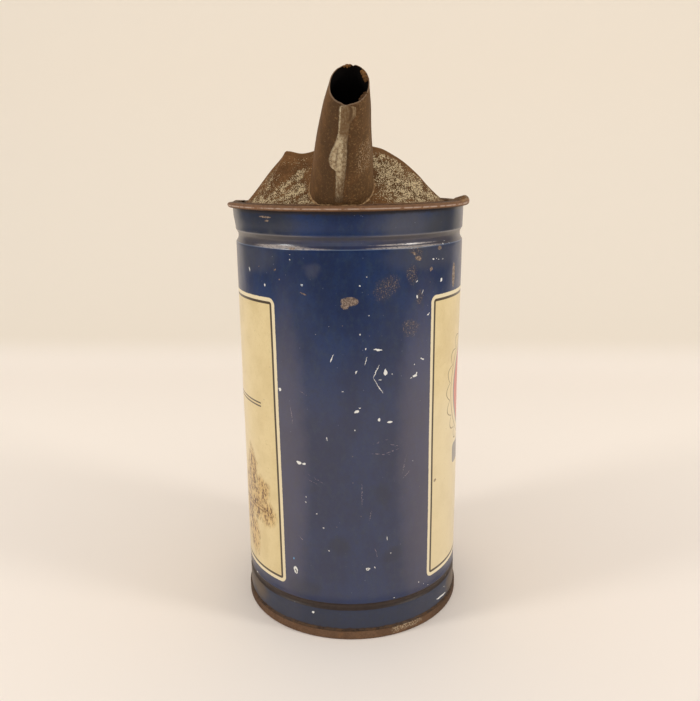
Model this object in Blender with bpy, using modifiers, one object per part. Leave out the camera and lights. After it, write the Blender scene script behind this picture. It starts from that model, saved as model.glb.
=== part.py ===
# Spouted tin oil mixing can: metres, +Z up, origin at the centre of the flat base, spout towards -Y.
import math

import bmesh
import bpy
from mathutils import Matrix, Vector

# Fit between neighbouring pieces, and how far cutters run past what they cut
FIT = 0.0003
OVERRUN = 0.004
MERGE = 0.00001

# Body: one lithographed tin wall with two swaged grooves and a flange turned out at the top
BODY_RADIUS = 0.04445
BODY_SHEET = 0.00035
FLANGE_TOP = 0.16585
FLANGE_REACH = 0.00215
FLANGE_BEND = 0.0006
UPPER_GROOVE_HEIGHT = 0.1542
UPPER_GROOVE_WIDTH = 0.0047
UPPER_GROOVE_DEPTH = 0.0010
LOWER_GROOVE_HEIGHT = 0.0130
LOWER_GROOVE_WIDTH = 0.0028
LOWER_GROOVE_DEPTH = 0.0007

# Side seam: the solder run down the back of the wall
SEAM_AZIMUTH = math.radians(186)
SEAM_WIDTH = 0.0055
SEAM_THICKNESS = 0.00035
SEAM_END_MARGIN = 0.0012

# Bottom cap with its upturned flange, and the solder bead on the flange
CAP_SHEET = 0.00035
CAP_FLANGE_HEIGHT = 0.0036
CAP_CORNER = 0.0007
CAP_SOLDER_HEIGHT = 0.0007

# Hood: a sheet that folds over the body's flange and rises as half a cone behind the spout
HOOD_SHEET = 0.00035
HOOD_FOOT_RADIUS = 0.0432
HOOD_HALF_SPAN = math.radians(57)
HOOD_HEIGHT = 0.0215
HOOD_EDGE_FORWARD = 0.0235
FOLD_LEFT_SPAN = math.radians(105)
FOLD_RIGHT_SPAN = math.radians(98)
FOLD_LIFT = 0.0004
FOLD_TUCK = 0.0013
EAR_SPAN = math.radians(15)
EAR_LIFT = 0.0010
FLAT_END_DROP = 0.0003

# Free edge of the hood: share of the half span (minus is the -X side) and share of the hood's height
HOOD_EDGE_SHARES = (
    (-1.0, 0.0),
    (-0.960, 0.181),
    (-0.906, 0.379),
    (-0.845, 0.574),
    (-0.767, 0.768),
    (-0.725, 0.855),
    (-0.687, 0.847),
    (-0.605, 0.815),
    (-0.547, 0.813),
    (-0.450, 0.840),
    (-0.210, 0.940),
    (0.0, 1.0),
    (0.210, 0.985),
    (0.410, 0.913),
    (0.530, 0.867),
    (0.644, 0.769),
    (0.744, 0.649),
    (0.800, 0.551),
    (0.844, 0.453),
    (0.876, 0.354),
    (0.913, 0.255),
    (0.947, 0.156),
    (0.978, 0.057),
    (1.0, 0.0),
)
HOOD_CORNER_SHARE = -0.725

# Spout: a tapered tube, measured along its axis from a point just out from the hood's front line,
# which lies at a share of the hood's height
SPOUT_SHEET = 0.00035
SPOUT_FOOT_SIDE = 0.00025
SPOUT_FOOT_SHARE = 0.3849
SPOUT_FOOT_OUT = 0.00162
SPOUT_FOOT_RADIUS = 0.01076
SPOUT_TIP_RADIUS = 0.0062
SPOUT_TIP_SIDE = 0.0009
SPOUT_LENGTH = 0.035
SPOUT_LEAN = math.radians(30)
SPOUT_SIDE_LEAN = math.radians(5.5)
MOUTH_FRONT_LENGTH = 0.0313
MOUTH_BACK_LENGTH = 0.0385
SPOUT_HOLE_INSET = 0.0010
SPOUT_HOLE_RISE = 0.0012

# Sections of the spout: shares of its length, of its taper and of the tip's shift towards +X
SPOUT_SHARES = (
    (-1.0, -0.9, 0.0),
    (0.0, 0.0, 0.0),
    (0.40, 0.36, 0.0),
    (0.80, 0.72, 0.1),
    (0.90, 0.86, 0.5),
    (1.0, 1.0, 1.0),
    (2.0, 1.9, 4.0),
)

# Solder on the spout: the strip down its front seam with one blob, and the fillet round its foot.
# The strip's lower end stands above the fillet, and its upper end stops short of the mouth
STRIP_RISE = 0.00103
STRIP_END_MARGIN = 0.0012
STRIP_HALF_WIDTH = 0.00165
STRIP_THICKNESS = 0.0004
FILLET_WIDTH = 0.0007
FILLET_HEIGHT = 0.0007

# Edges of the strip: share of its length, then shares of its half width on the -X and +X sides
STRIP_SHARES = (
    (0.0, -0.8, 0.8),
    (0.15, -0.75, 0.8),
    (0.28, -0.9, 0.85),
    (0.34, -1.9, 0.9),
    (0.41, -2.6, 0.95),
    (0.48, -2.4, 1.0),
    (0.55, -1.6, 1.0),
    (0.62, -1.0, 1.0),
    (0.78, -1.0, 1.1),
    (0.90, -0.9, 1.0),
    (1.0, -0.9, 1.2),
)

# Cutters for the spout's foot: a block under the hood's surface, as shares of span and ruling
BLOCK_DEPTH = 0.016
BLOCK_SPAN_SHARE = 0.62
BLOCK_END_SHARE = 0.4
SPOUT_TAIL = 0.010
FILLET_REACH = 0.015
CUTTER_SIZE = 0.060

# Facets: full turns, the hood's columns and rows, and rounded corners
BODY_STEPS = 96
SPOUT_STEPS = 48
HOOD_COLUMNS = 40
FOLD_COLUMNS = 14
HOOD_ROWS = 6
STRIP_COLUMNS = 5
STRIP_ROWS = 24
SLEEVE_ROWS = 12
CORNER_STEPS = 4
GROOVE_SHARES = (
    (0.50, 0.0),
    (0.38, 0.5),
    (0.22, 0.9),
    (0.0, 1.0),
    (-0.22, 0.9),
    (-0.38, 0.5),
    (-0.50, 0.0),
)

QUARTER = math.pi / 2
RIM_OUTER = BODY_RADIUS + FLANGE_REACH
FOLD_TOP = FLANGE_TOP + FIT + FOLD_LIFT + HOOD_SHEET
HOOD_FOOT_HEIGHT = FOLD_TOP - HOOD_SHEET / 2
HOOD_RUN = HOOD_EDGE_FORWARD - HOOD_FOOT_RADIUS
SPOUT_FOOT_HEIGHT = HOOD_FOOT_HEIGHT + HOOD_HEIGHT * SPOUT_FOOT_SHARE
SPOUT_FOOT_FORWARD = HOOD_FOOT_RADIUS + HOOD_RUN * SPOUT_FOOT_SHARE + SPOUT_FOOT_OUT


def make_material(name, colour, roughness, metallic):
    material = bpy.data.materials.new(name)
    material.use_nodes = True
    shader = material.node_tree.nodes["Principled BSDF"]
    shader.inputs["Base Color"].default_value = (*colour, 1.0)
    shader.inputs["Roughness"].default_value = roughness
    shader.inputs["Metallic"].default_value = metallic
    return material


def make_collection(name):
    collection = bpy.data.collections.new(name)
    bpy.context.scene.collection.children.link(collection)
    return collection


def add_object(name, mesh, collection, material=None):
    """Puts a mesh in the scene; without a material it is a cutter."""
    piece = bpy.data.objects.new(name, mesh)
    collection.objects.link(piece)
    if material is None:
        piece.hide_render = True
        piece.display_type = "WIRE"
    else:
        mesh.materials.append(material)
    return piece


def shade(mesh):
    mesh.shade_smooth()
    mesh.set_sharp_from_angle(angle=math.radians(35))


def profile_mesh(name, points, closed):
    """A line of (radius, height) points in the XZ plane, ready to be turned."""
    mesh = bpy.data.meshes.new(name)
    bm = bmesh.new()
    corners = [bm.verts.new((radius, 0, height)) for radius, height in points]
    for first, second in zip(corners, corners[1:]):
        bm.edges.new((first, second))
    if closed:
        bm.edges.new((corners[-1], corners[0]))
    bm.to_mesh(mesh)
    bm.free()
    return mesh


def turn(piece, steps, angle=2 * math.pi):
    """Turns a profile about the object's own Z axis."""
    screw = piece.modifiers.new("turn", "SCREW")
    screw.axis = "Z"
    screw.angle = angle
    screw.steps = steps
    screw.render_steps = steps
    screw.use_merge_vertices = True
    screw.merge_threshold = MERGE
    screw.use_smooth_shade = True
    return screw


def thicken(piece, thickness, offset):
    solid = piece.modifiers.new("sheet", "SOLIDIFY")
    solid.thickness = thickness
    solid.offset = offset
    solid.use_even_offset = True
    return solid


def combine(piece, tool, operation, solver="EXACT"):
    boolean = piece.modifiers.new(operation.lower(), "BOOLEAN")
    boolean.operation = operation
    boolean.object = tool
    boolean.solver = solver
    return boolean


def arc_points(centre, radius, start, end, steps):
    """Points on an arc about a (radius, height) centre, both ends included."""
    points = []
    for step in range(steps + 1):
        angle = start + (end - start) * step / steps
        points.append((centre[0] + radius * math.cos(angle), centre[1] + radius * math.sin(angle)))
    return points


def groove_points(radius, height, width, depth):
    """A swaged groove in a wall of the given radius, from its upper edge down."""
    points = []
    for height_share, depth_share in GROOVE_SHARES:
        points.append((radius - depth * depth_share, height + width * height_share))
    return points


def wall_grooves(radius):
    """Both grooves of the wall, top to bottom, for its outer or inner side."""
    upper = groove_points(radius, UPPER_GROOVE_HEIGHT, UPPER_GROOVE_WIDTH, UPPER_GROOVE_DEPTH)
    lower = groove_points(radius, LOWER_GROOVE_HEIGHT, LOWER_GROOVE_WIDTH, LOWER_GROOVE_DEPTH)
    return upper + lower


def body_profile():
    edge_radius = BODY_SHEET / 2
    edge_centre = (RIM_OUTER - edge_radius, FLANGE_TOP - edge_radius)
    under_bend = (BODY_RADIUS + FLANGE_BEND, FLANGE_TOP - BODY_SHEET - FLANGE_BEND)
    top_bend_radius = FLANGE_BEND + BODY_SHEET
    top_bend = (BODY_RADIUS - BODY_SHEET + top_bend_radius, FLANGE_TOP - top_bend_radius)
    foot = CAP_SHEET + FIT
    points = arc_points(edge_centre, edge_radius, QUARTER, -QUARTER, CORNER_STEPS)
    points += arc_points(under_bend, FLANGE_BEND, QUARTER, 2 * QUARTER, CORNER_STEPS)
    points += wall_grooves(BODY_RADIUS)
    points.append((BODY_RADIUS, foot))
    points.append((BODY_RADIUS - BODY_SHEET, foot))
    points += reversed(wall_grooves(BODY_RADIUS - BODY_SHEET))
    points += arc_points(top_bend, top_bend_radius, 2 * QUARTER, QUARTER, CORNER_STEPS)
    return points


def make_body_shell(collection, material):
    mesh = profile_mesh("body_shell", body_profile(), closed=True)
    piece = add_object("body_shell", mesh, collection, material)
    turn(piece, BODY_STEPS)
    return piece


def make_side_seam(collection, material):
    """The solder run follows the outer side of the wall down the back, grooves included."""
    top = FLANGE_TOP - BODY_SHEET - FLANGE_BEND - SEAM_END_MARGIN
    bottom = CAP_FLANGE_HEIGHT + FIT + CAP_SOLDER_HEIGHT + SEAM_END_MARGIN
    radius = BODY_RADIUS + FIT
    points = [(radius, top)] + wall_grooves(radius) + [(radius, bottom)]
    mesh = profile_mesh("side_seam_solder", points, closed=False)
    piece = add_object("side_seam_solder", mesh, collection, material)
    span = SEAM_WIDTH / BODY_RADIUS
    turn(piece, CORNER_STEPS, span)
    thicken(piece, SEAM_THICKNESS, 1)
    piece.rotation_euler = (0, 0, SEAM_AZIMUTH - QUARTER - span / 2)
    return piece


def make_bottom_cap(collection, material):
    outer = BODY_RADIUS + FIT + CAP_SHEET
    inner = BODY_RADIUS + FIT
    crown = outer - CAP_SHEET / 2
    heel = (outer - CAP_CORNER, CAP_CORNER)
    crown_centre = (crown, CAP_FLANGE_HEIGHT - CAP_SHEET / 2)
    points = [(0, CAP_SHEET), (inner, CAP_SHEET)]
    points += arc_points(crown_centre, CAP_SHEET / 2, 2 * QUARTER, 0, CORNER_STEPS)
    points += arc_points(heel, CAP_CORNER, 0, -QUARTER, CORNER_STEPS)
    points.append((0, 0))
    mesh = profile_mesh("bottom_cap", points, closed=False)
    piece = add_object("bottom_cap", mesh, collection, material)
    turn(piece, BODY_STEPS)
    return piece


def make_bottom_solder(collection, material):
    """A bead in the corner between the wall and the top of the cap's flange."""
    inner = BODY_RADIUS + FIT
    foot = CAP_FLANGE_HEIGHT + FIT
    points = [
        (inner, foot + CAP_SOLDER_HEIGHT),
        (inner + CAP_SHEET / 2, foot + CAP_SOLDER_HEIGHT / 2),
        (inner + CAP_SHEET, foot),
        (inner, foot),
    ]
    mesh = profile_mesh("bottom_solder", points, closed=True)
    piece = add_object("bottom_solder", mesh, collection, material)
    turn(piece, BODY_STEPS)
    return piece


def edge_height_share(share):
    """Height share of the hood's free edge at a share of its half span."""
    for (left, low), (right, high) in zip(HOOD_EDGE_SHARES, HOOD_EDGE_SHARES[1:]):
        if share <= right:
            return low + (high - low) * (share - left) / (right - left)
    return HOOD_EDGE_SHARES[-1][1]


def around(radius, azimuth, height):
    """A point at an azimuth from -Y, positive towards +X."""
    return Vector((radius * math.sin(azimuth), -radius * math.cos(azimuth), height))


def ruling(share):
    """Foot and free end of the hood's straight line at a share of the half span."""
    azimuth = share * HOOD_HALF_SPAN
    foot = around(HOOD_FOOT_RADIUS, azimuth, HOOD_FOOT_HEIGHT)
    reach = HOOD_EDGE_FORWARD / math.cos(azimuth)
    height = HOOD_FOOT_HEIGHT + HOOD_HEIGHT * edge_height_share(share)
    return foot, around(reach, azimuth, height)


def column_shares():
    """Shares of the half span for the hood's columns, with one on its bent corner."""
    shares = {2 * step / HOOD_COLUMNS - 1 for step in range(HOOD_COLUMNS + 1)}
    return sorted(shares | {HOOD_CORNER_SHARE})


def smooth_step(value):
    value = min(max(value, 0), 1)
    return value * value * (3 - 2 * value)


def fold_end_lift(azimuth):
    """How far the top of the fold leaves its height: an ear at the +X end, flattened at the -X end."""
    if azimuth > 0:
        return EAR_LIFT * smooth_step((azimuth - FOLD_RIGHT_SPAN + EAR_SPAN) / EAR_SPAN)
    span = FOLD_LEFT_SPAN - HOOD_HALF_SPAN
    return -FLAT_END_DROP * smooth_step((-azimuth - HOOD_HALF_SPAN) / span)


def fold_column(azimuth):
    """The fold over the body's flange, from its tucked end round to the hood's foot."""
    radius = (BODY_SHEET + FOLD_LIFT + HOOD_SHEET) / 2 + FIT
    centre = (RIM_OUTER + FIT + HOOD_SHEET / 2 - radius, HOOD_FOOT_HEIGHT - radius)
    points = [(centre[0] - FOLD_TUCK, centre[1] - radius)]
    points += arc_points(centre, radius, -QUARTER, QUARTER, 2 * CORNER_STEPS)
    points.append((HOOD_FOOT_RADIUS, HOOD_FOOT_HEIGHT))
    lift = fold_end_lift(azimuth)
    column = []
    for reach, height in points:
        raised = max(height - centre[1], 0) / radius
        column.append(around(reach, azimuth, height + lift * raised))
    return column


def fold_shares(end):
    """Shares of the half span for the fold's own columns, from the hood's side to the fold's end."""
    start = math.copysign(1, end)
    return [start + (end - start) * step / FOLD_COLUMNS for step in range(1, FOLD_COLUMNS + 1)]


def hood_columns():
    """Rows of points for every azimuth: the fold all round, the cone where the hood stands."""
    left = fold_shares(-FOLD_LEFT_SPAN / HOOD_HALF_SPAN)
    right = fold_shares(FOLD_RIGHT_SPAN / HOOD_HALF_SPAN)
    columns = []
    for share in left[::-1] + column_shares() + right:
        points = fold_column(share * HOOD_HALF_SPAN)
        if abs(share) < 1:
            foot, end = ruling(share)
            points += [foot.lerp(end, row / HOOD_ROWS) for row in range(1, HOOD_ROWS + 1)]
        columns.append(points)
    return columns


def make_hood(collection, material):
    """A loft between the round fold and the hood's bent free edge, thickened to the sheet."""
    mesh = bpy.data.meshes.new("hood")
    bm = bmesh.new()
    columns = [[bm.verts.new(point) for point in points] for points in hood_columns()]
    for left, right in zip(columns, columns[1:]):
        shared = min(len(left), len(right))
        for row in range(shared - 1):
            bm.faces.new((left[row], right[row], right[row + 1], left[row + 1]))
        taller = max(left, right, key=len)
        corner = min(left, right, key=len)[-1]
        for row in range(shared - 1, len(taller) - 1):
            bm.faces.new((corner, taller[row], taller[row + 1]))
    bmesh.ops.recalc_face_normals(bm, faces=bm.faces)
    bm.to_mesh(mesh)
    bm.free()
    shade(mesh)
    piece = add_object("hood", mesh, collection, material)
    thicken(piece, HOOD_SHEET, 0)
    return piece


def make_hood_block(name, lift, collection):
    """A closed block under a face that stands a given height above the hood's outer side."""
    mesh = bpy.data.meshes.new(name)
    bm = bmesh.new()
    columns = []
    for step in range(HOOD_COLUMNS + 1):
        foot, end = ruling(BLOCK_SPAN_SHARE * (2 * step / HOOD_COLUMNS - 1))
        low = foot.lerp(end, -BLOCK_END_SHARE)
        high = foot.lerp(end, 1 + BLOCK_END_SHARE)
        columns.append([bm.verts.new(low.lerp(high, row / HOOD_ROWS)) for row in range(HOOD_ROWS + 1)])
    for left, right in zip(columns, columns[1:]):
        for row in range(HOOD_ROWS):
            bm.faces.new((left[row], right[row], right[row + 1], left[row + 1]))
    bmesh.ops.recalc_face_normals(bm, faces=bm.faces)
    bm.normal_update()
    facing = sum(face.normal.z for face in bm.faces)
    rise = math.copysign(HOOD_SHEET / 2 + lift, facing)
    for vertex in bm.verts:
        vertex.co += vertex.normal * rise
    if facing < 0:
        bmesh.ops.reverse_faces(bm, faces=bm.faces)
    bm.to_mesh(mesh)
    bm.free()
    block = add_object(name, mesh, collection)
    thicken(block, BLOCK_DEPTH, -1)
    return block


def make_box(name, centre, rotation, size, collection):
    """A cube cutter."""
    mesh = bpy.data.meshes.new(name)
    bm = bmesh.new()
    bmesh.ops.create_cube(bm, size=size)
    bm.to_mesh(mesh)
    bm.free()
    box = add_object(name, mesh, collection)
    box.matrix_world = Matrix.Translation(centre) @ rotation.to_4x4()
    return box


def make_floor(name, lift, collection):
    """A cutter whose top face stands a given height above the folded rim."""
    top = FOLD_TOP + lift
    centre = Vector((SPOUT_FOOT_SIDE, -SPOUT_FOOT_FORWARD, top - CUTTER_SIZE / 2))
    return make_box(name, centre, Matrix.Identity(3), CUTTER_SIZE, collection)


def spout_matrix():
    """From the spout's own frame (+Z along its axis, -Y its front) to the can's frame."""
    foot = Matrix.Translation((SPOUT_FOOT_SIDE, -SPOUT_FOOT_FORWARD, SPOUT_FOOT_HEIGHT))
    return foot @ Matrix.Rotation(SPOUT_SIDE_LEAN, 4, "Y") @ Matrix.Rotation(SPOUT_LEAN, 4, "X")


def spout_section(length):
    """Outer radius and side shift of the spout at a length along its axis."""
    share = length / SPOUT_LENGTH
    for (low, *first), (high, *second) in zip(SPOUT_SHARES, SPOUT_SHARES[1:]):
        if share <= high:
            weight = (share - low) / (high - low)
            taper, side = [start + (end - start) * weight for start, end in zip(first, second)]
            return SPOUT_FOOT_RADIUS + (SPOUT_TIP_RADIUS - SPOUT_FOOT_RADIUS) * taper, SPOUT_TIP_SIDE * side
    raise ValueError("beyond the last section of the spout")


def wrap_on_spout(name, columns, rows, offset, start, end, span):
    """A grid wrapped round the spout; span gives its two side angles at a share of its length."""
    mesh = bpy.data.meshes.new(name)
    bm = bmesh.new()
    bmesh.ops.create_grid(bm, x_segments=columns, y_segments=rows, size=1 / 2)
    for vertex in bm.verts:
        share = vertex.co.y + 1 / 2
        length = start + (end - start) * share
        radius, shift = spout_section(length)
        radius += offset
        first, second = span(share, radius)
        angle = first + (second - first) * (vertex.co.x + 1 / 2)
        vertex.co = (radius * math.sin(angle) + shift, -radius * math.cos(angle), length)
    bmesh.ops.remove_doubles(bm, verts=bm.verts, dist=MERGE)
    bmesh.ops.recalc_face_normals(bm, faces=bm.faces)
    bm.normal_update()
    if sum(face.normal.xy.dot(face.calc_center_median().xy) for face in bm.faces) < 0:
        bmesh.ops.reverse_faces(bm, faces=bm.faces)
    bm.to_mesh(mesh)
    bm.free()
    shade(mesh)
    return mesh


def full_turn(share, radius):
    return -math.pi, math.pi


def make_sleeve(name, offset, end, thickness, side, collection, material):
    """A tapered sleeve round the spout's axis, thickened to one side."""
    mesh = wrap_on_spout(name, SPOUT_STEPS, SLEEVE_ROWS, offset, -SPOUT_TAIL, end, full_turn)
    piece = add_object(name, mesh, collection, material)
    thicken(piece, thickness, side)
    piece.matrix_world = spout_matrix()
    return piece


def make_bore(collection):
    """The spout's bore as a plug that opens the hood above the folded rim."""
    end = SPOUT_LENGTH / 2
    points = [
        (0, end),
        (spout_section(end)[0] - SPOUT_HOLE_INSET, end),
        (spout_section(-SPOUT_TAIL)[0] - SPOUT_HOLE_INSET, -SPOUT_TAIL),
        (0, -SPOUT_TAIL),
    ]
    bore = add_object("bore_cutter", profile_mesh("bore_cutter", points, closed=False), collection)
    turn(bore, SPOUT_STEPS)
    bore.matrix_world = spout_matrix()
    combine(bore, make_floor("hole_floor_cutter", SPOUT_HOLE_RISE, collection), "DIFFERENCE")
    return bore


def make_mouth_cutter(collection):
    """A cube on the slanted mouth plane, from the front lip up to the back lip."""
    front = Vector((0, -spout_section(MOUTH_FRONT_LENGTH)[0], MOUTH_FRONT_LENGTH))
    back = Vector((0, spout_section(MOUTH_BACK_LENGTH)[0], MOUTH_BACK_LENGTH))
    slope = back - front
    tilt = Matrix.Rotation(math.atan2(slope.z, slope.y), 3, "X")
    centre = front.lerp(back, 1 / 2) + tilt @ Vector((0, 0, CUTTER_SIZE / 2))
    box = make_box("mouth_cutter", Vector(), Matrix.Identity(3), CUTTER_SIZE, collection)
    box.matrix_world = spout_matrix() @ Matrix.Translation(centre) @ tilt.to_4x4()
    return box


def make_spout(collection, material, cutters):
    end = MOUTH_BACK_LENGTH + OVERRUN
    piece = make_sleeve("spout", 0, end, SPOUT_SHEET, -1, collection, material)
    combine(piece, make_hood_block("spout_hood_cutter", FIT, cutters), "DIFFERENCE")
    combine(piece, make_floor("spout_floor_cutter", FIT, cutters), "DIFFERENCE")
    combine(piece, make_mouth_cutter(cutters), "DIFFERENCE")
    return piece


def make_spout_fillet(collection, material, cutters):
    """The solder fillet round the spout's foot, a layer of even height on the hood and the rim."""
    piece = make_sleeve("spout_foot_solder", FIT, FILLET_REACH, FILLET_WIDTH, 1, collection, material)
    layer = make_hood_block("fillet_hood_envelope", FIT + FILLET_HEIGHT, cutters)
    combine(layer, make_floor("fillet_floor_envelope", FIT + FILLET_HEIGHT, cutters), "UNION", "MANIFOLD")
    combine(piece, layer, "INTERSECT")
    combine(piece, bpy.data.objects["spout_hood_cutter"], "DIFFERENCE")
    combine(piece, bpy.data.objects["spout_floor_cutter"], "DIFFERENCE")
    return piece


def strip_start():
    """Length along the spout at which the strip's lower end clears the fillet on the rim."""
    fillet_top = FOLD_TOP + FIT + FILLET_HEIGHT
    front_foot = SPOUT_FOOT_HEIGHT - SPOUT_FOOT_RADIUS * math.sin(SPOUT_LEAN)
    return (fillet_top + STRIP_RISE - front_foot) / math.cos(SPOUT_LEAN)


def strip_span(share, radius):
    """Side angles of the seam strip at a share of its length."""
    for (low, *first), (high, *second) in zip(STRIP_SHARES, STRIP_SHARES[1:]):
        if share <= high:
            break
    weight = (share - low) / (high - low)
    sides = [start + (end - start) * weight for start, end in zip(first, second)]
    return [STRIP_HALF_WIDTH * side / radius for side in sides]


def make_spout_strip(collection, material):
    """The solder down the spout's front seam, with one blob at its side."""
    name = "spout_seam_solder"
    end = MOUTH_FRONT_LENGTH - STRIP_END_MARGIN
    mesh = wrap_on_spout(name, STRIP_COLUMNS, STRIP_ROWS, FIT, strip_start(), end, strip_span)
    piece = add_object(name, mesh, collection, material)
    thicken(piece, STRIP_THICKNESS, 1)
    piece.matrix_world = spout_matrix()
    return piece


def main():
    for stale in list(bpy.data.objects):
        bpy.data.objects.remove(stale, do_unlink=True)
    can = make_collection("oil_mixing_can")
    cutters = make_collection("cutters")
    painted = make_material("blue_litho_tin", (0.020, 0.055, 0.170), 0.42, 0.0)
    rusted = make_material("brown_rusted_tin", (0.110, 0.060, 0.033), 0.62, 0.3)
    solder = make_material("dull_solder", (0.300, 0.270, 0.220), 0.50, 0.6)
    base = make_material("rusted_base_tin", (0.090, 0.045, 0.025), 0.65, 0.3)
    make_body_shell(can, painted)
    make_side_seam(can, solder)
    make_bottom_cap(can, base)
    make_bottom_solder(can, solder)
    hood = make_hood(can, rusted)
    combine(hood, make_bore(cutters), "DIFFERENCE")
    make_spout(can, rusted, cutters)
    make_spout_fillet(can, solder, cutters)
    make_spout_strip(can, solder)


main()
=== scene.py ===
# Spouted tin oil mixing can: the fine shapes and finishes, dressed over the CAD frame
from functools import reduce
from math import atan2, cos, hypot, pi, radians, sin

import bmesh
import bpy
from mathutils import Matrix, Vector, noise


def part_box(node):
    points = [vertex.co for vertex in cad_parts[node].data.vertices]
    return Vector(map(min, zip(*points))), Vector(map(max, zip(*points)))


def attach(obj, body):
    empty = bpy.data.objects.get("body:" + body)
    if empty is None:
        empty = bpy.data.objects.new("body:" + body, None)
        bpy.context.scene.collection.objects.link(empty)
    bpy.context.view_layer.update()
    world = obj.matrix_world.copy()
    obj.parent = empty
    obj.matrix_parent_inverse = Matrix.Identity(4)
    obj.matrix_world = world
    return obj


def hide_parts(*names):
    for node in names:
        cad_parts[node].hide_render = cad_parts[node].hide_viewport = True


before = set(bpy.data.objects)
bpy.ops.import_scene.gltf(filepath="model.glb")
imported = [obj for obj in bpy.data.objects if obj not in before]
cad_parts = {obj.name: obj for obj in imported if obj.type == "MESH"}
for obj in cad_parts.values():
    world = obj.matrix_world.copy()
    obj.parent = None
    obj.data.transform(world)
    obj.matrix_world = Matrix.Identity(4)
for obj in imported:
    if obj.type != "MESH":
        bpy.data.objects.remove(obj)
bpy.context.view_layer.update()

MM = 0.001
QUARTER = pi / 2

# Corners nearer than this become one, in most sheets and in turned and very fine ones
JOIN = 0.01 * MM
FINE_JOIN = 0.001 * MM

# Sizes read from the CAD frame
WALL_LOW, WALL_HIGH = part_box("body_shell")
CAP_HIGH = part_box("bottom_cap")[1]
HOOD_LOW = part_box("hood")[0]
SEAM_LOW, SEAM_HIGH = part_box("side_seam_solder")
FLANGE_REACH = WALL_HIGH[0]
FLANGE_TOP = WALL_HIGH[2]
RIM_REACH = -HOOD_LOW[0]
WALL_FOOT = WALL_LOW[2]
CAP_OUTER = CAP_HIGH[0]
CAP_TOP = CAP_HIGH[2]

# Wall: tin sheet with two swaged grooves, each a height, width and depth, and a flange on top
SHEET = 0.35 * MM
WALL_RADIUS = 44.45 * MM
UPPER_GROOVE = (154.1 * MM, 5.1 * MM, 0.95 * MM)
LOWER_GROOVE = (13.8 * MM, 3.2 * MM, 0.7 * MM)
GROOVE_BOTTOM_POWER = 2.3
GROOVE_EDGE_POWER = 1.4
GROOVE_STEP = 0.2 * MM
WALL_STEP = 3.0 * MM
FLANGE_BEND = 0.6 * MM
WALL_TURNS = 240
WAVE_DEPTH = 0.12 * MM
WAVE_SIZE = 38 * MM
STILL_FOOT = 8 * MM
STILL_TOP = 6 * MM
FACING = 0.3
FLARE_START = 156.5 * MM
FLARE_END = 163.5 * MM
FLARE_LEFT = 0.85 * MM
FLARE_RIGHT = 0.15 * MM
LEAN_START = 105 * MM
LEAN_END = 145 * MM
RIGHT_LEAN = 0.32 * MM
# Azimuth, height, depth, half span and half height of the dent in the right side
SIDE_DENT = (radians(98), 92 * MM, 0.6 * MM, radians(26), 34 * MM)

# Rim: the hood's sheet folded over the flange
FIT = 0.3 * MM
FOLD_LIFT = 0.4 * MM
FOLD_TUCK = 0.2 * MM
FOLD_TOP = FLANGE_TOP + FIT + FOLD_LIFT + SHEET
FOLD_LEFT_END = radians(-105)
FOLD_RIGHT_END = radians(98)
EAR_AZIMUTH = radians(71.5)
EAR_RISE = radians(7.5)
EAR_FALL = radians(23)
EAR_LIFT = 1.8 * MM
# Azimuth, half span and lift of the crumple in the left end
LEFT_CRUMPLE = (radians(-97), radians(5), 0.5 * MM)
FLAT_END_DROP = 0.5 * MM
LEFT_DROOP = 0.4 * MM
FOLD_ROWS = 26
LAND_ROWS = 4
LEFT_COLUMNS = 48
HOOD_COLUMNS = 160
RIGHT_COLUMNS = 42

# Hood: half a cone behind the spout, cut off along an upright plane
HOOD_FOOT_RADIUS = 43.2 * MM
HOOD_FOOT_HEIGHT = FOLD_TOP - SHEET / 2
HOOD_HALF_SPAN = radians(57)
HOOD_HEIGHT = 21.5 * MM
HOOD_EDGE_FORWARD = 23.5 * MM
HOOD_ROWS = 40
HOOD_WAVE = 0.14 * MM
HOOD_WAVE_SIZE = 11 * MM
HOOD_SLACK_SHARE = 1 / 6
HOOD_BEND_REACH = 1.2 * MM
HOOD_BEND_PASSES = 4
EDGE_ROUND = 0.09 * MM
EDGE_ANGLE = radians(60)
SHARP_ANGLE = radians(40)

# Free edge of the hood, left and right of its bent corner: share of half span, share of height
LEFT_EDGE_SHARES = (
    (-1, 0), (-0.899, 0.379), (-0.836, 0.574), (-0.757, 0.768), (-0.731, 0.855),
)
RIGHT_EDGE_SHARES = (
    (-0.731, 0.855), (-0.687, 0.847), (-0.605, 0.815), (-0.547, 0.813), (-0.45, 0.84), (-0.21, 0.94),
    (0, 1), (0.21, 0.985), (0.41, 0.913), (0.53, 0.867), (0.644, 0.769), (0.744, 0.649), (0.844, 0.453),
    (0.913, 0.255), (1, 0),
)

# Spout: a tapered tube measured along its axis from its foot point
SPOUT_FOOT = Vector((0.25 * MM, -37.24 * MM, 175 * MM))
SPOUT_FOOT_RADIUS = 10.76 * MM
SPOUT_TIP_RADIUS = 6.2 * MM
SPOUT_TIP_SIDE = 0.9 * MM
SPOUT_LENGTH = 35 * MM
SPOUT_LEAN = radians(30)
SPOUT_SIDE_LEAN = radians(5.5)
SPOUT_TAIL = 9 * MM
SEAT_HALVINGS = 28
SPOUT_COLUMNS = 144
SPOUT_ROWS = 90
SPOUT_WAVE = 0.07 * MM
SPOUT_WAVE_SIZE = 6 * MM
SPOUT_WAVE_STRETCH = 3
MOUTH_FRONT = 31.3 * MM
MOUTH_BACK = 38.4 * MM
TAPER_SHARES = (
    (-1, -0.92), (0, -0.02), (0.34, 0.24), (0.51, 0.4), (0.63, 0.52), (0.8, 0.69), (0.9, 0.84), (1, 1),
    (2, 1.9),
)
SIDE_SHARES = (
    (-1, 0), (0.45, 0), (0.6, 0.15), (0.75, 0.42), (0.87, 0.66), (0.95, 0.92), (1, 1.1), (2, 4),
)

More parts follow.
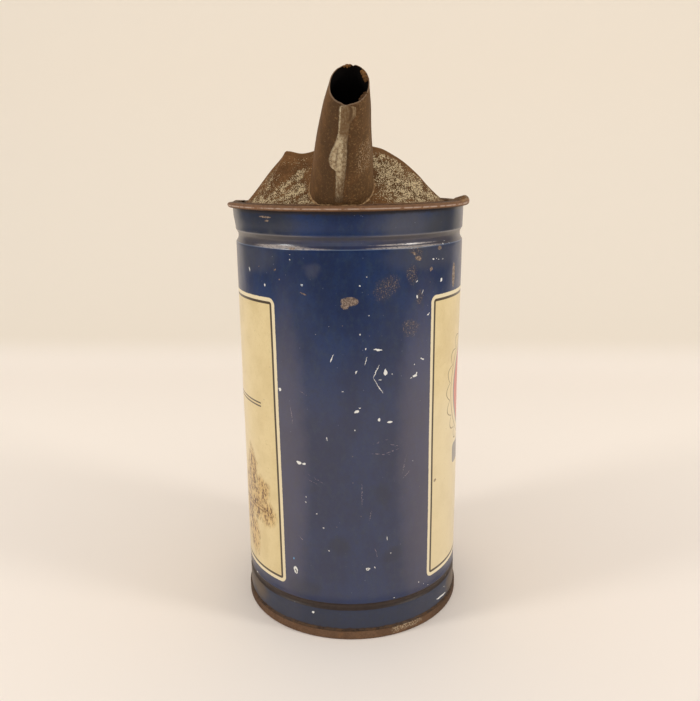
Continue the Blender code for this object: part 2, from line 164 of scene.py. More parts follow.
# Mouth of the spout: a lip bent out on the left, a pointed front, a nick at the back
LIP_BEND = 0.4 * MM
LIP_BEND_LENGTH = 5.0 * MM
LIP_BEND_ANGLE = radians(-125)
LIP_BEND_SPAN = radians(55)
POINT_DROP = 0.35 * MM
POINT_SPAN = radians(16)
NICK_DEPTH = 0.45 * MM
NICK_ANGLE = radians(178)
NICK_SPAN = radians(7)
LIP_RAGGED = 0.10 * MM
LIP_RAGGED_SIZE = 0.9 * MM
BORE_INSET = 1.0 * MM

# Crusts of rust inside the lip: degrees from the spout's front, mm inwards, radius in mm
CRUSTS = (
    (138, 0.5, 0.6), (129, 0.6, 0.75), (119, 0.6, 0.85), (109, 0.5, 0.7), (66, 0.3, 0.6), (55, 0.4, 0.7),
    (44, 0.3, 0.6), (-171, 0.1, 0.45), (-162, 0.1, 0.5), (-152, 0.2, 0.35),
)
CRUST_ROUGH = 0.7
CRUST_ROUGH_SIZE = 0.6 * MM
CRUST_SEAT_SHARE = 0.7

# Solder on the spout: the strip down the front seam and the fillet round the foot
STRIP_START = -1.9 * MM
STRIP_END = 30.8 * MM
STRIP_SINK = 0.06 * MM
STRIP_RAGGED = 0.22 * MM
STRIP_RAGGED_SIZES = (1.3 * MM, 0.4 * MM)
STRIP_FINE_SHARE = 0.7
STRIP_END_POWER = 60
STRIP_CROWN_POWER = 0.6
STRIP_LUMP = 0.45
STRIP_LUMP_SIZE = 1.2 * MM
STRIP_COLUMNS = 40
STRIP_ROWS = 190

# Strip by length up the spout in mm: its reach to the left and to the right, its thickness
LEFT_STRIP_REACH = (
    (-1.9, 1.35), (2, 1.25), (5, 1.3), (8.3, 1.45), (9.4, 1.6), (10.2, 2.8), (11.2, 3.5), (12.5, 3.85),
    (14, 3.7), (16, 3.15), (18, 2.4), (20, 1.85), (22, 1.5), (26, 1.6), (30.8, 1.9),
)
RIGHT_STRIP_REACH = (
    (-1.9, 1.2), (5, 1.45), (10, 1.75), (14, 1.85), (20, 1.6), (24, 1.7), (25.4, 1.8), (26.6, 2.6),
    (27.6, 3.2), (29.2, 3.3), (30.8, 2.9),
)
STRIP_RISE = (
    (-1.9, 0.16), (5, 0.24), (9, 0.4), (14, 0.5), (19, 0.38), (22, 0.22), (30.8, 0.2),
)
FILLET_WIDTH = 0.6 * MM
FILLET_HEIGHT = 0.7 * MM
FILLET_SINK = 0.08 * MM
FILLET_RAGGED = 0.7
FILLET_RAGGED_SIZE = 1.6 * MM
FILLET_ROWS = 10

# Bottom cap with its upturned flange, and the solder bead on top of it
CAP_CORNER = 0.7 * MM
BEAD_HEIGHT = 0.7 * MM
BEAD_RAGGED = 0.3
BEAD_RAGGED_SIZE = 3 * MM
ARC_STEPS = 8

# Side seam: the solder run down the back of the wall
SEAM_AZIMUTH = radians(186)
SEAM_WIDTH = 5.5 * MM
SEAM_THICKNESS = 0.35 * MM
SEAM_LUMPS = ((0.25, 5 * MM), (0.12, 1.2 * MM))
SEAM_RAGGED = 0.06
SEAM_END_POWER = 40
SEAM_CROWN_POWER = 0.5
SEAM_RAGGED_SIZE = 3 * MM
SEAM_COLUMNS = 24
SEAM_ROWS = 260

# Printed panels: azimuth of the blue front panel, and a label in mm, across and up the wall
FRONT_AZIMUTH = radians(6)
LABEL_HALF_WIDTH = 39.2
LABEL_LOW = 19.6
LABEL_HIGH = 133.7
LABEL_CORNER = 2.6
BORDER_INSET = 1.9
BORDER_HALF_LINE = 0.44
LEFT_LABEL_SLANT = 0.011
RIGHT_LABEL_SLANT = 0.0
RULE_HEIGHTS = (92.0, 90.7, 47.8, 46.4)
RULE_HALF_LENGTH = 28.9

# Rosette on the right label, in mm, and the bar under it: half length, half height and rounding
ROSETTE_RAISED = 17.0
ROSETTE_RADIUS = 19.6
ROSETTE_RING = 20.9
ROSETTE_SOFT = 0.3
PETAL_FOLDS = 4.0
LACE_FOLDS = 11.0
BAR_DROP = 27.5
BAR_HALF_SIDES = (18.0, 2.2, 0)
BAR_ROUND = 2.2

# Wear on the print, with painted lamp reflections and painted highlights among the tables: azimuth in
# degrees, then height, half width, half height in mm, turn in degrees
WHITE_CHIPS = (
    (-24.2, 148.2, 0.22, 0.25, 0), (-24.2, 149.9, 0.14, 0.14, 0), (-52.4, 143, 0.25, 0.9, 20),
    (-40, 138.2, 0.45, 0.3, 30), (-18.5, 139.4, 0.34, 0.42, 20), (8.2, 139.4, 0.22, 0.22, 0),
    (11.4, 142.5, 0.18, 0.18, 0), (46.1, 147, 0.5, 0.2, 0), (48.4, 146.9, 0.22, 0.14, 0),
    (50, 146.8, 0.28, 0.14, 0), (53.6, 152, 0.22, 0.22, 20), (55.6, 152.9, 0.18, 0.18, 0),
    (59.2, 152, 0.14, 0.3, 20), (53.2, 146.5, 0.24, 0.14, 0), (52.4, 138.9, 0.75, 0.4, 40),
    (36.2, 139.8, 0.5, 0.2, 35), (36.3, 134.2, 0.28, 0.55, 0), (39.4, 135.6, 0.12, 0.9, -20),
    (43.4, 127.2, 0.8, 0.22, 25), (12.2, 128.7, 0.2, 0.18, 0), (8, 122.1, 0.18, 0.24, 0),
    (10.7, 116.8, 0.26, 0.22, 0), (16.4, 116.3, 1.6, 0.28, -9), (-4.9, 113.4, 0.17, 1.6, -28),
    (10.7, 112.3, 0.12, 1.6, -18), (15.5, 108.4, 0.12, 2.6, -24), (16.4, 103, 0.12, 3.4, 31),
    (17.3, 105.1, 0.6, 0.12, 0), (20, 107.8, 0.6, 1.2, 0), (23.3, 106.9, 0.22, 0.22, 0),
    (35.6, 104.9, 0.95, 0.45, 0), (36.4, 105.5, 0.22, 0.95, -30), (33.6, 104.3, 0.32, 0.18, 20),
    (39.9, 110.8, 0.9, 0.22, -32), (35.4, 109.2, 0.24, 0.2, 0), (6.1, 108.4, 0.16, 0.7, -25),
    (-32.4, 99.8, 0.6, 0.6, 0), (0, 101.1, 0.32, 0.16, 20), (6.2, 93.5, 1, 0.5, 18),
    (7.7, 94.9, 0.34, 0.22, 10), (16.9, 90, 0.38, 0.75, 8), (22.3, 88.7, 1, 0.4, -4),
    (5.4, 86.6, 0.24, 0.32, 0), (-7.9, 83, 0.14, 0.8, 10), (-22.6, 72.3, 1.05, 0.52, -16),
    (-19.8, 72.2, 0.55, 0.42, 0), (-19.3, 58.9, 0.16, 0.2, 0), (-19.4, 56.8, 0.24, 0.2, 0),
    (-13.7, 52.5, 0.22, 0.22, 0), (-10.3, 47, 0.24, 0.18, 0), (-8, 37.7, 0.27, 0.22, 0),
    (23, 35.6, 0.24, 0.24, 0), (20.9, 41.9, 0.14, 0.9, 0), (-26.2, 27, 0.85, 1.6, 14),
    (11.3, 30.1, 0.85, 0.55, 0), (14.6, 30.4, 0.26, 0.3, 0), (-17, 10.2, 0.55, 0.55, 0),
    (-59, 15.6, 0.5, 0.5, 0), (39.8, 19.4, 0.2, 0.2, 0), (43.2, 17.6, 0.22, 0.18, 0),
    (46.4, 16.1, 0.18, 0.18, 0), (24.8, 15.9, 0.24, 0.13, 0), (59.5, 6.2, 4.2, 0.34, -6),
    (62.5, 9.4, 0.28, 0.24, 0), (104, 144, 0.9, 0.3, 35), (121, 148, 0.32, 0.32, 0),
    (158, 118, 0.3, 1.8, 24), (169, 71, 0.9, 0.5, -12), (-163, 96, 0.22, 2.1, -30),
    (-149, 48, 0.6, 0.8, 10), (-140.5, 126, 0.45, 0.3, 0), (-98, 147, 0.5, 0.32, 20),
    (-121, 9.4, 0.6, 0.4, 0), (139, 8.2, 0.5, 0.6, 0),
)
DULL_SCRATCHES = (
    (18, 76.5, 3.2, 0.13, -8), (23.6, 77.2, 2.9, 0.13, 13), (18, 81.5, 2.6, 0.1, 12),
    (24.5, 79.5, 2.2, 0.09, -20), (-13.8, 66.7, 3.2, 0.1, -27), (-15, 65.2, 2.6, 0.09, -27),
    (8.5, 60.8, 0.1, 4.2, 0), (-19.2, 99.8, 1.2, 0.11, -26), (-26, 91, 0.1, 3.4, 8), (30, 71, 0.12, 3, -14),
    (31.5, 67, 1.9, 0.1, 40), (-22, 41, 1.8, 0.1, -38), (12.5, 52, 0.1, 2.4, -12), (15.5, 36.5, 0.1, 2, 16),
    (151, 88, 4.6, 0.12, 14), (-170, 60, 0.12, 5.2, 9), (176, 132, 3.8, 0.12, -21),
)
BROWN_CHIPS = (
    (3.5, 133.9, 3.1, 1.55, 0), (1.6, 132.6, 1.6, 1.3, 20), (44.8, 143.5, 0.7, 0.7, 0),
    (50.6, 150.8, 1, 0.8, 0), (36.8, 147.9, 1.4, 0.75, -12), (34.2, 149.8, 0.9, 0.4, -30),
    (64.7, 139.6, 1.3, 4.6, 0), (-23.1, 152, 1.3, 0.45, 0), (-33, 144.2, 0.42, 0.34, 0),
    (-30.5, 140.8, 0.24, 0.34, 30), (-44, 144.6, 0.34, 0.22, 0), (-17.8, 136.4, 1.3, 0.26, -12),
    (-37.5, 162.6, 3, 0.3, 0), (-36.6, 161.3, 1, 0.3, 4), (50.6, 60.4, 0.8, 0.55, 25),
    (-110, 158.5, 1.8, 1, 0), (128, 12, 2.4, 1.1, 0), (162, 140, 2.2, 1.4, 15), (-152, 84, 1.5, 2, 0),
)
RUST_PATCHES = (
    (20.6, 138.1, 4.4, 2.9, 38), (33.2, 142.4, 1.6, 2.6, 0), (31.9, 122.9, 3.4, 2.4, 0),
    (35.5, 150.6, 2.8, 1.5, -20), (37.5, 134, 1.4, 2.4, 0), (147, 30, 7, 5, 0), (-158, 146, 8, 4, 0),
    (172, 20, 9, 4, 0),
)
DARK_SMUDGES = (
    (-2.5, 40.1, 3.2, 2.6, 0), (23.5, 34, 2.8, 2.6, 0), (-20.5, 20.5, 5, 3, 0), (18, 61, 3, 3, 0),
    (-178, 50, 12, 9, 0),
)
PALE_SMEARS = (
    (-13.4, 144.6, 2.4, 2, 0), (30, 160, 6, 4, 0), (160, 100, 9, 7, 0),
)
# Painted reflections of the two lamps: broad pale bands down the blue at either side
LAMP_REFLECTION_BANDS = (
    (-29, 70, 6, 44, 0), (41, 74, 8, 46, 0),
)
LABEL_STAINS = (
    (-49, 55, 3.4, 4.2, 0), (-45.5, 46.5, 3.4, 4.6, 0), (-55, 49, 4.4, 5, 0), (-60, 60, 3.4, 8, 0),
    (-66, 46, 4, 12, 0), (-60, 33, 3.4, 6, 0), (-108, 40, 9, 6, 0), (118, 30, 8, 7, 0),
)
DARK_CENTRES = (
    (-26.1, 26.6, 0.34, 0.8, 14), (11.2, 30.1, 0.36, 0.24, 0),
)
BLUISH_CHIPS = (
    (-18.5, 139.4, 0.2, 0.24, 20), (-27.2, 31.8, 0.34, 0.4, 30),
)
# Painted highlights of the lamps on the upper groove's lower shoulder, left and right
GROOVE_HIGHLIGHTS = (
    (-31, 152.5, 9.5, 0.42, 0), (-26, 152, 13, 0.32, 0), (31, 153.1, 11, 0.24, 0), (32, 152.1, 13, 0.32, 0),
)
TOP_FILM = (
    (-64, 160, 12, 6, 0), (-40, 160, 13, 5, 0), (58, 159, 12, 5, 0),
)
GROOVE_DUST = (
    (34, 160, 13, 4.6, 0), (-51, 148, 12, 4.6, 0), (42, 148.5, 13, 4.2, 0), (-45, 155, 15, 1.6, 0),
    (-165, 150, 30, 6, 0),
)
FOOT_STAINS = (
    (-58, 10, 6.5, 3.8, 0), (-80, 12, 9, 9, 0), (76, 8, 6, 4, 0),
)
# Marks laid over the blue: painted lamp reflections, smears, smudges, film and dust, each with softness,
# colour and share
BLUE_WEAR_AND_REFLECTIONS = (
    (LAMP_REFLECTION_BANDS, 0.8, (122, 110, 114), 0.24),
    (PALE_SMEARS, 0.8, (118, 112, 108), 0.16),
    (DARK_SMUDGES, 0.8, (46, 46, 50), 0.35),
    (TOP_FILM, 0.6, (34, 36, 36), 0.6),
    (GROOVE_DUST, 0.7, (92, 88, 80), 0.32),
)

# Tin left in the rust, in the same units
HOOD_TIN = (
    (-40, 167.6, 9, 1.6, 0), (-29, 167.8, 5, 1.8, 0), (-34.5, 171.6, 8.6, 1.8, 48),
    (-27, 176.6, 2.4, 2.2, 0), (-25, 171.4, 4.6, 2.2, 20), (-17.6, 168.4, 2.6, 2.4, 0),
    (31, 174.5, 8.6, 9, 0), (26, 181, 5, 4, 0), (41, 169, 8, 2.6, 0), (41, 173, 5, 4, 0),
)
FAINT_HOOD_TIN = (
    (-44, 171.5, 4, 5, 30), (46, 169, 6, 4, 0), (36, 179, 6, 5, 0),
)
BASE_TIN = (
    (33, 2.9, 5.4, 1.3, 0), (25.5, 2.4, 1.6, 1.2, 0), (-118, 2.4, 6, 1.4, 0), (161, 2.2, 7, 1.2, 0),
)

# Camera fitted to the photograph, and the lamps that its shadows point back to
CAMERA_PLACE = (18.425 * MM, -301.245 * MM, 181.21 * MM)
CAMERA_HEADING = radians(3.5)
CAMERA_PITCH = radians(14.1266)
CAMERA_ROLL = radians(-0.6104)
CAMERA_LENS = 38.6
SENSOR_WIDTH = 36
SWEEP_HALF_WIDTH = 0.64
SWEEP_FRONT = -0.6
SWEEP_BEND_START = 0.31
SWEEP_BEND_RADIUS = 0.28
SWEEP_TOP = 1.3
SWEEP_ROWS = 160
LAMP_SIZE = 0.18
LAMP_HEIGHT = 0.47
LAMP_DISTANCE = 0.75
LAMP_POWER = 2.0
LEFT_LAMP_AZIMUTH = radians(-63.5)
RIGHT_LAMP_AZIMUTH = radians(69)
LAMP_COLOUR = (1.0, 0.975, 0.94)
ROOM_COLOUR = (1.0, 0.99, 0.965)
ROOM_STRENGTH = 0.72
DARK_SIDE = 0.85
DARK_SIDE_FADE = (-0.75, -0.6)

# Finishes: the lacquer over the print, which fades out near the foot, dust, and the spout's lap
LACQUER_FADE = (16.0, 19.0)
LACQUER_WEIGHT = 0.56
LACQUER_ROUGHNESS = 0.2
DUST_ROUGHNESS = 0.25
DUST_COLOUR = (255, 226, 196)
LAP_SHARE = 0.539

# A squared distance, in half sizes of a mark, that lies beyond every mark
FAR_OFF = 99.0


def around(radius, azimuth, height):
    """A point at an azimuth in radians from the can's front, positive to the right."""
    return Vector((radius * sin(azimuth), -radius * cos(azimuth), height))


def ease(value):
    """A soft step from 0 to 1."""
    value = min(max(value, 0), 1)
    return value * value * (3 - 2 * value)


def swell(distance, reach):
    """A soft hump: 1 at no distance, 0 from the reach on."""
    return ease(1 - abs(distance) / reach)


def turn_between(first, second):
    """The angle from one azimuth to another, the short way round."""
    return (second - first + pi) % (2 * pi) - pi


def eased_table(table, share):
    """A smooth curve through a table of (share, value) points."""
    share = min(max(share, table[0][0]), table[-1][0])
    place = next(i for i in range(len(table) - 1) if share <= table[i + 1][0])

    def slope(index):
        before, after = max(index - 1, 0), min(index + 1, len(table) - 1)
        return (table[after][1] - table[before][1]) / (table[after][0] - table[before][0])

    (low, start), (high, end) = table[place], table[place + 1]
    run = high - low
    part = (share - low) / run
    bend = part * part * (3 - 2 * part)
    lead = part * (1 - part) * (1 - part) * run * slope(place)
    trail = part * part * (part - 1) * run * slope(place + 1)
    return start + (end - start) * bend + lead + trail


def rough(point, size):
    """Smooth noise from -1 to 1 with lumps of about a size."""
    return noise.noise(Vector(point) / size)


def arc(centre, radius, start, end):
    """Points on an arc about a (radius, height) centre."""
    points = []
    for step in range(ARC_STEPS + 1):
        angle = start + (end - start) * step / ARC_STEPS
        points.append((centre[0] + radius * cos(angle), centre[1] + radius * sin(angle)))
    return points


def turned(line, turns, closed):
    """A mesh turned once round the can's axis from a line of (radius, height) points."""
    bm = bmesh.new()
    rings = [[bm.verts.new(around(radius, QUARTER + 2 * pi * turn / turns, height)) for turn in range(turns)]
             for radius, height in line]
    above = rings[1:] + rings[:1] if closed else rings[1:]
    for ring, other in zip(rings, above):
        for turn in range(turns):
            bm.faces.new((ring[turn - 1], ring[turn], other[turn], other[turn - 1]))
    bmesh.ops.remove_doubles(bm, verts=bm.verts, dist=FINE_JOIN)
    bmesh.ops.recalc_face_normals(bm, faces=bm.faces)
    return bm


def laid_sheet(columns, rows, place, join=JOIN):
    """A grid laid where place(across, along) says; its corners keep both shares, 0 to 1."""
    bm = bmesh.new()
    bmesh.ops.create_grid(bm, x_segments=columns, y_segments=rows, size=1 / 2)
    kept = [bm.verts.layers.float.new(name) for name in ("across", "along")]
    for corner in bm.verts:
        shares = (corner.co.x + 1 / 2, corner.co.y + 1 / 2)
        for layer, share in zip(kept, shares):
            corner[layer] = share
        corner.co = place(*shares)
    bmesh.ops.remove_doubles(bm, verts=bm.verts, dist=join)
    bmesh.ops.recalc_face_normals(bm, faces=bm.faces)
    return bm


def put(name, data):
    """A new object in the scene."""
    thing = bpy.data.objects.new(name, data)
    bpy.context.scene.collection.objects.link(thing)
    return thing


def finished_mesh(name, bm, finishes):
    """A smooth mesh with its finishes, made of a mesh under construction."""
    mesh = bpy.data.meshes.new(name)
    bm.to_mesh(mesh)
    bm.free()
    mesh.shade_smooth()
    for finish in finishes:
        mesh.materials.append(finish)
    return mesh


def add_piece(name, bm, finishes, node):
    """Puts a finished mesh on the can, for its CAD node."""
    mesh = finished_mesh(name, bm, finishes)
    mesh.set_sharp_from_angle(angle=SHARP_ANGLE)
    piece = put(name, mesh)
    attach(piece, "root")
    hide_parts(node)
    return piece


def give_sheet(piece, thickness, side):
    """Thickens an open sheet and rounds its cut edges; side is -1 inwards, 0 both ways."""
    sheet = piece.modifiers.new("sheet", "SOLIDIFY")
    sheet.thickness = thickness
    sheet.offset = side
    sheet.use_even_offset = True
    edge = piece.modifiers.new("edge", "BEVEL")
    edge.width = EDGE_ROUND
    edge.segments = 2
    edge.limit_method = "ANGLE"
    edge.angle_limit = EDGE_ANGLE


def groove_depth(height, groove):
    """How far a swaged groove presses the wall in at a height."""
    centre, width, depth = groove
    share = min(abs(height - centre) / (width / 2), 1)
    return depth * (1 - share ** GROOVE_BOTTOM_POWER) ** GROOVE_EDGE_POWER


def pressed_in(height):
    """How far both grooves press the wall in at a height."""
    return groove_depth(height, UPPER_GROOVE) + groove_depth(height, LOWER_GROOVE)


def wall_heights(low, high):
    """Heights from low to high, close together in the grooves."""
    heights = [low]
    while heights[-1] < high:
        grooves = (UPPER_GROOVE, LOWER_GROOVE)
        near = min(abs(heights[-1] - centre) - width / 2 for centre, width, _ in grooves)
        heights.append(heights[-1] + min(max(near, GROOVE_STEP), WALL_STEP))
    heights[-1] = high
    return heights


def wall_face(radius, low, high):
    """One side of the wall as (radius, height) points, grooves included."""
    return [(radius - pressed_in(height), height) for height in wall_heights(low, high)]


def wall_shift(azimuth, height, radius):
    """How far hand and use have moved the wall outwards: flare, dent and slight waves."""
    left_share = (1 - sin(azimuth)) / 2
    flare = FLARE_RIGHT + (FLARE_LEFT - FLARE_RIGHT) * left_share
    shift = flare * ease((height - FLARE_START) / (FLARE_END - FLARE_START))
    lean = ease((height - LEAN_START) / (LEAN_END - LEAN_START))
    shift += RIGHT_LEAN * lean * max(sin(azimuth), 0)
    shift *= 1 - ease((radius - WALL_RADIUS) / (FLANGE_REACH - WALL_RADIUS))
    dent_azimuth, dent_height, depth, span, reach = SIDE_DENT
    shift -= depth * swell(turn_between(dent_azimuth, azimuth), span) * swell(height - dent_height, reach)
    free = ease((height - CAP_TOP) / STILL_FOOT) * ease((FLANGE_TOP - height) / STILL_TOP)
    return shift + free * WAVE_DEPTH * rough(around(WALL_RADIUS, azimuth, height), WAVE_SIZE)


def make_wall(print_finish, bare_finish):
    """The printed wall, its flange hidden in the rim, with its bare inner side."""
    inner = WALL_RADIUS - SHEET
    flange_low = FLANGE_TOP - SHEET
    lip = (FLANGE_REACH - SHEET / 2, FLANGE_TOP - SHEET / 2)
    under = (WALL_RADIUS + FLANGE_BEND, flange_low - FLANGE_BEND)
    over = (inner + FLANGE_BEND + SHEET, FLANGE_TOP - FLANGE_BEND - SHEET)
    line = wall_face(WALL_RADIUS, WALL_FOOT, under[1])
    line += arc(under, FLANGE_BEND, 2 * QUARTER, QUARTER)[1:]
    line += arc(lip, SHEET / 2, -QUARTER, QUARTER)
    line += arc(over, FLANGE_BEND + SHEET, QUARTER, 2 * QUARTER)
    line += wall_face(inner, WALL_FOOT, over[1])[-2::-1]
    bm = turned(line, WALL_TURNS, closed=True)
    for corner in bm.verts:
        azimuth = atan2(corner.co.x, -corner.co.y)
        radius = corner.co.xy.length
        shift = wall_shift(azimuth, corner.co.z, radius)
        corner.co = around(radius + shift, azimuth, corner.co.z)
    bm.normal_update()
    for face in bm.faces:
        middle = face.calc_center_median()
        inside = face.normal.xy.dot(middle.xy.normalized()) < -FACING
        on_flange = middle.z > flange_low and face.normal.z > FACING
        face.material_index = 1 if inside or on_flange else 0
    return add_piece("printed_wall", bm, (print_finish, bare_finish), "body_shell")


def make_side_seam(finish):
    """A lumpy solder run down the back, which follows the wall's grooves."""
    low, high = SEAM_LOW[2], SEAM_HIGH[2]

    def place(across, along):
        height = low + (high - low) * along
        closing = 1 - abs(2 * along - 1) ** SEAM_END_POWER
        turn = 2 * pi * across
        lump = 1
        for row, (depth, size) in enumerate(SEAM_LUMPS):
            lump += depth * rough((height, row, 0), size)
        ragged = 1 + SEAM_RAGGED * rough((height, 2, cos(turn)), SEAM_RAGGED_SIZE)
        half = SEAM_WIDTH / 2 / WALL_RADIUS * ragged * closing
        azimuth = SEAM_AZIMUTH - half * cos(turn)
        rise = SEAM_THICKNESS * max(sin(turn), 0) ** SEAM_CROWN_POWER * lump * closing
        radius = WALL_RADIUS - pressed_in(height) + rise - (STRIP_SINK if sin(turn) <= 0 else 0)
        return around(radius + wall_shift(azimuth, height, WALL_RADIUS), azimuth, height)

    bm = laid_sheet(SEAM_COLUMNS, SEAM_ROWS, place)
    return add_piece("side_seam_run", bm, (finish,), "side_seam_solder")


def make_bottom_cap(finish, inner_finish):
    """The rusted base with its flange turned up round the wall."""
    inner = CAP_OUTER - SHEET
    heel = (CAP_OUTER - CAP_CORNER, CAP_CORNER)
    inner_heel = (inner - CAP_CORNER / 2, SHEET + CAP_CORNER / 2)
    crown = (CAP_OUTER - SHEET / 2, CAP_TOP - SHEET / 2)
    line = [(0, 0), (heel[0] / 2, 0)]
    line += arc(heel, CAP_CORNER, -QUARTER, 0)
    line += arc(crown, SHEET / 2, 0, 2 * QUARTER)
    line += arc(inner_heel, CAP_CORNER / 2, 0, -QUARTER)
    line += [(inner_heel[0] / 2, SHEET), (0, SHEET)]
    bm = turned(line, WALL_TURNS, closed=False)
    for face in bm.faces:
        middle = face.calc_center_median()
        face.material_index = 1 if middle.z > SHEET / 2 and middle.xy.length < inner - SHEET else 0
    return add_piece("rusted_base", bm, (finish, inner_finish), "bottom_cap")


def make_bottom_bead(finish):
    """The thin line of old solder in the corner between the wall and the base's flange."""
    foot = CAP_TOP + FIT / 2
    line = [
        (WALL_RADIUS - STRIP_SINK, foot + BEAD_HEIGHT),
        (WALL_RADIUS + FIT + SHEET / 3, foot + BEAD_HEIGHT / 3),
        (CAP_OUTER - SHEET / 4, foot),
        (WALL_RADIUS - STRIP_SINK, foot - FIT),
    ]
    bm = turned(line, WALL_TURNS, closed=True)
    for corner in bm.verts:
        if corner.co.z > foot:
            corner.co.z += BEAD_RAGGED * BEAD_HEIGHT * rough(corner.co, BEAD_RAGGED_SIZE)
    return add_piece("base_solder_line", bm, (finish,), "bottom_solder")


def edge_share(share):
    """Height share of the hood's free edge at a share of its half span."""
    corner = LEFT_EDGE_SHARES[-1][0]
    table = LEFT_EDGE_SHARES if share < corner else RIGHT_EDGE_SHARES
    return eased_table(table, share)


def column_azimuth(column):
    """Azimuth of a column of the rim, with the hood's own columns in the middle."""
    if column < LEFT_COLUMNS:
        return FOLD_LEFT_END + (-HOOD_HALF_SPAN - FOLD_LEFT_END) * column / LEFT_COLUMNS
    column -= LEFT_COLUMNS
    if column <= HOOD_COLUMNS:
        return HOOD_HALF_SPAN * (2 * column / HOOD_COLUMNS - 1)
    column -= HOOD_COLUMNS
    return HOOD_HALF_SPAN + (FOLD_RIGHT_END - HOOD_HALF_SPAN) * column / RIGHT_COLUMNS


def left_end_share(azimuth):
    """0 as far as the hood goes, and 1 at the rim's left end."""
    return ease((-HOOD_HALF_SPAN - azimuth) / (-HOOD_HALF_SPAN - FOLD_LEFT_END))


def rim_end_lift(azimuth):
    """The rim's right end curls up as an ear, and its left end is beaten flat."""
    if azimuth > 0:
        beyond = azimuth - EAR_AZIMUTH
        return EAR_LIFT * ease(1 + beyond / EAR_RISE if beyond < 0 else 1 - beyond / EAR_FALL)
    crumple, span, lift = LEFT_CRUMPLE
    return lift * swell(azimuth - crumple, span) - FLAT_END_DROP * left_end_share(azimuth)


def rim_place(across, along):
    """A point of the fold: from its tucked end round the flange and in to the hood's foot."""
    azimuth = column_azimuth(round(across * (LEFT_COLUMNS + HOOD_COLUMNS + RIGHT_COLUMNS)))
    radius = (SHEET + FOLD_LIFT + SHEET) / 2 + FIT
    centre = (RIM_REACH - SHEET / 2 - radius, HOOD_FOOT_HEIGHT - radius)
    row = along * FOLD_ROWS
    part = 0
    if row < 1:
        reach, height = centre[0] - FOLD_TUCK, centre[1] - radius
    elif row <= FOLD_ROWS - LAND_ROWS:
        angle = -QUARTER + 2 * QUARTER * (row - 1) / (FOLD_ROWS - LAND_ROWS - 1)
        reach, height = centre[0] + radius * cos(angle), centre[1] + radius * sin(angle)
    else:
        part = (row - FOLD_ROWS + LAND_ROWS) / LAND_ROWS
        reach, height = centre[0] + (HOOD_FOOT_RADIUS - centre[0]) * part, HOOD_FOOT_HEIGHT
    raised = max(height - centre[1], 0) / radius * (1 - 0.5 * part)
    droop = LEFT_DROOP * left_end_share(azimuth)
    return around(reach, azimuth, height + rim_end_lift(azimuth) * raised - droop)


def hood_place(across, along):
    """A point of the half cone between its foot and its free edge."""
    share = 2 * across - 1
    azimuth = share * HOOD_HALF_SPAN
    foot = around(HOOD_FOOT_RADIUS, azimuth, HOOD_FOOT_HEIGHT)
    end_height = HOOD_FOOT_HEIGHT + HOOD_HEIGHT * edge_share(share)
    point = foot.lerp(around(HOOD_EDGE_FORWARD / cos(azimuth), azimuth, end_height), along)
    slack = ease(along / HOOD_SLACK_SHARE) * ease((1 - abs(share)) / HOOD_SLACK_SHARE)
    outwards = around(1, azimuth, 1).normalized()
    return point + outwards * slack * HOOD_WAVE * rough(point, HOOD_WAVE_SIZE)


def spout_matrix():
    """From the spout's own frame, +Z along its axis and -Y its front, to the can's."""
    lean = Matrix.Rotation(SPOUT_SIDE_LEAN, 4, "Y") @ Matrix.Rotation(SPOUT_LEAN, 4, "X")
    return Matrix.Translation(SPOUT_FOOT) @ lean


def spout_point(angle, length, lift=0.0):
    """A point on the spout at an angle from its front, lifted off its outer side."""
    share = length / SPOUT_LENGTH
    radius = SPOUT_FOOT_RADIUS + (SPOUT_TIP_RADIUS - SPOUT_FOOT_RADIUS) * eased_table(TAPER_SHARES, share)
    side = SPOUT_TIP_SIDE * eased_table(SIDE_SHARES, share)
    below_lip = mouth_length(angle) - length
    bend = swell(turn_between(LIP_BEND_ANGLE, angle), LIP_BEND_SPAN) * ease(1 - below_lip / LIP_BEND_LENGTH)
    wave = SPOUT_WAVE * rough(around(radius, angle, length / SPOUT_WAVE_STRETCH), SPOUT_WAVE_SIZE)
    radius += lift + wave + LIP_BEND * bend
    local = Vector((radius * sin(angle) + side, -radius * cos(angle), length))
    return spout_matrix() @ local


def mouth_length(angle):
    """Where the slanted, worn mouth cuts the spout at an angle."""
    length = MOUTH_FRONT + (MOUTH_BACK - MOUTH_FRONT) * (1 - cos(angle)) / 2
    length -= POINT_DROP * swell(turn_between(0, angle), POINT_SPAN)
    length -= NICK_DEPTH * swell(turn_between(NICK_ANGLE, angle), NICK_SPAN)
    return length + LIP_RAGGED * rough(around(SPOUT_TIP_RADIUS, angle, 0), LIP_RAGGED_SIZE)


def seat_height(point):
    """Height of the outer side of the hood, or of the rim, under a point."""
    azimuth = atan2(point.x, -point.y)
    radius = point.xy.length
    if radius >= HOOD_FOOT_RADIUS:
        return FOLD_TOP
    run = HOOD_FOOT_RADIUS - HOOD_EDGE_FORWARD / cos(azimuth)
    rise = HOOD_HEIGHT * edge_share(azimuth / HOOD_HALF_SPAN)
    lift = SHEET / 2 * hypot(1, rise / run)
    return max(HOOD_FOOT_HEIGHT + rise * (HOOD_FOOT_RADIUS - radius) / run + lift, FOLD_TOP)


def seat_length(angle, above=0.0, lift=0.0):
    """Length along the spout at which its side comes down to a height above its seat."""
    low, high = -SPOUT_TAIL, SPOUT_LENGTH
    for _ in range(SEAT_HALVINGS):
        middle = (low + high) / 2
        point = spout_point(angle, middle, lift)
        if point.z - seat_height(point) < above:
            low = middle
        else:
            high = middle
    return high


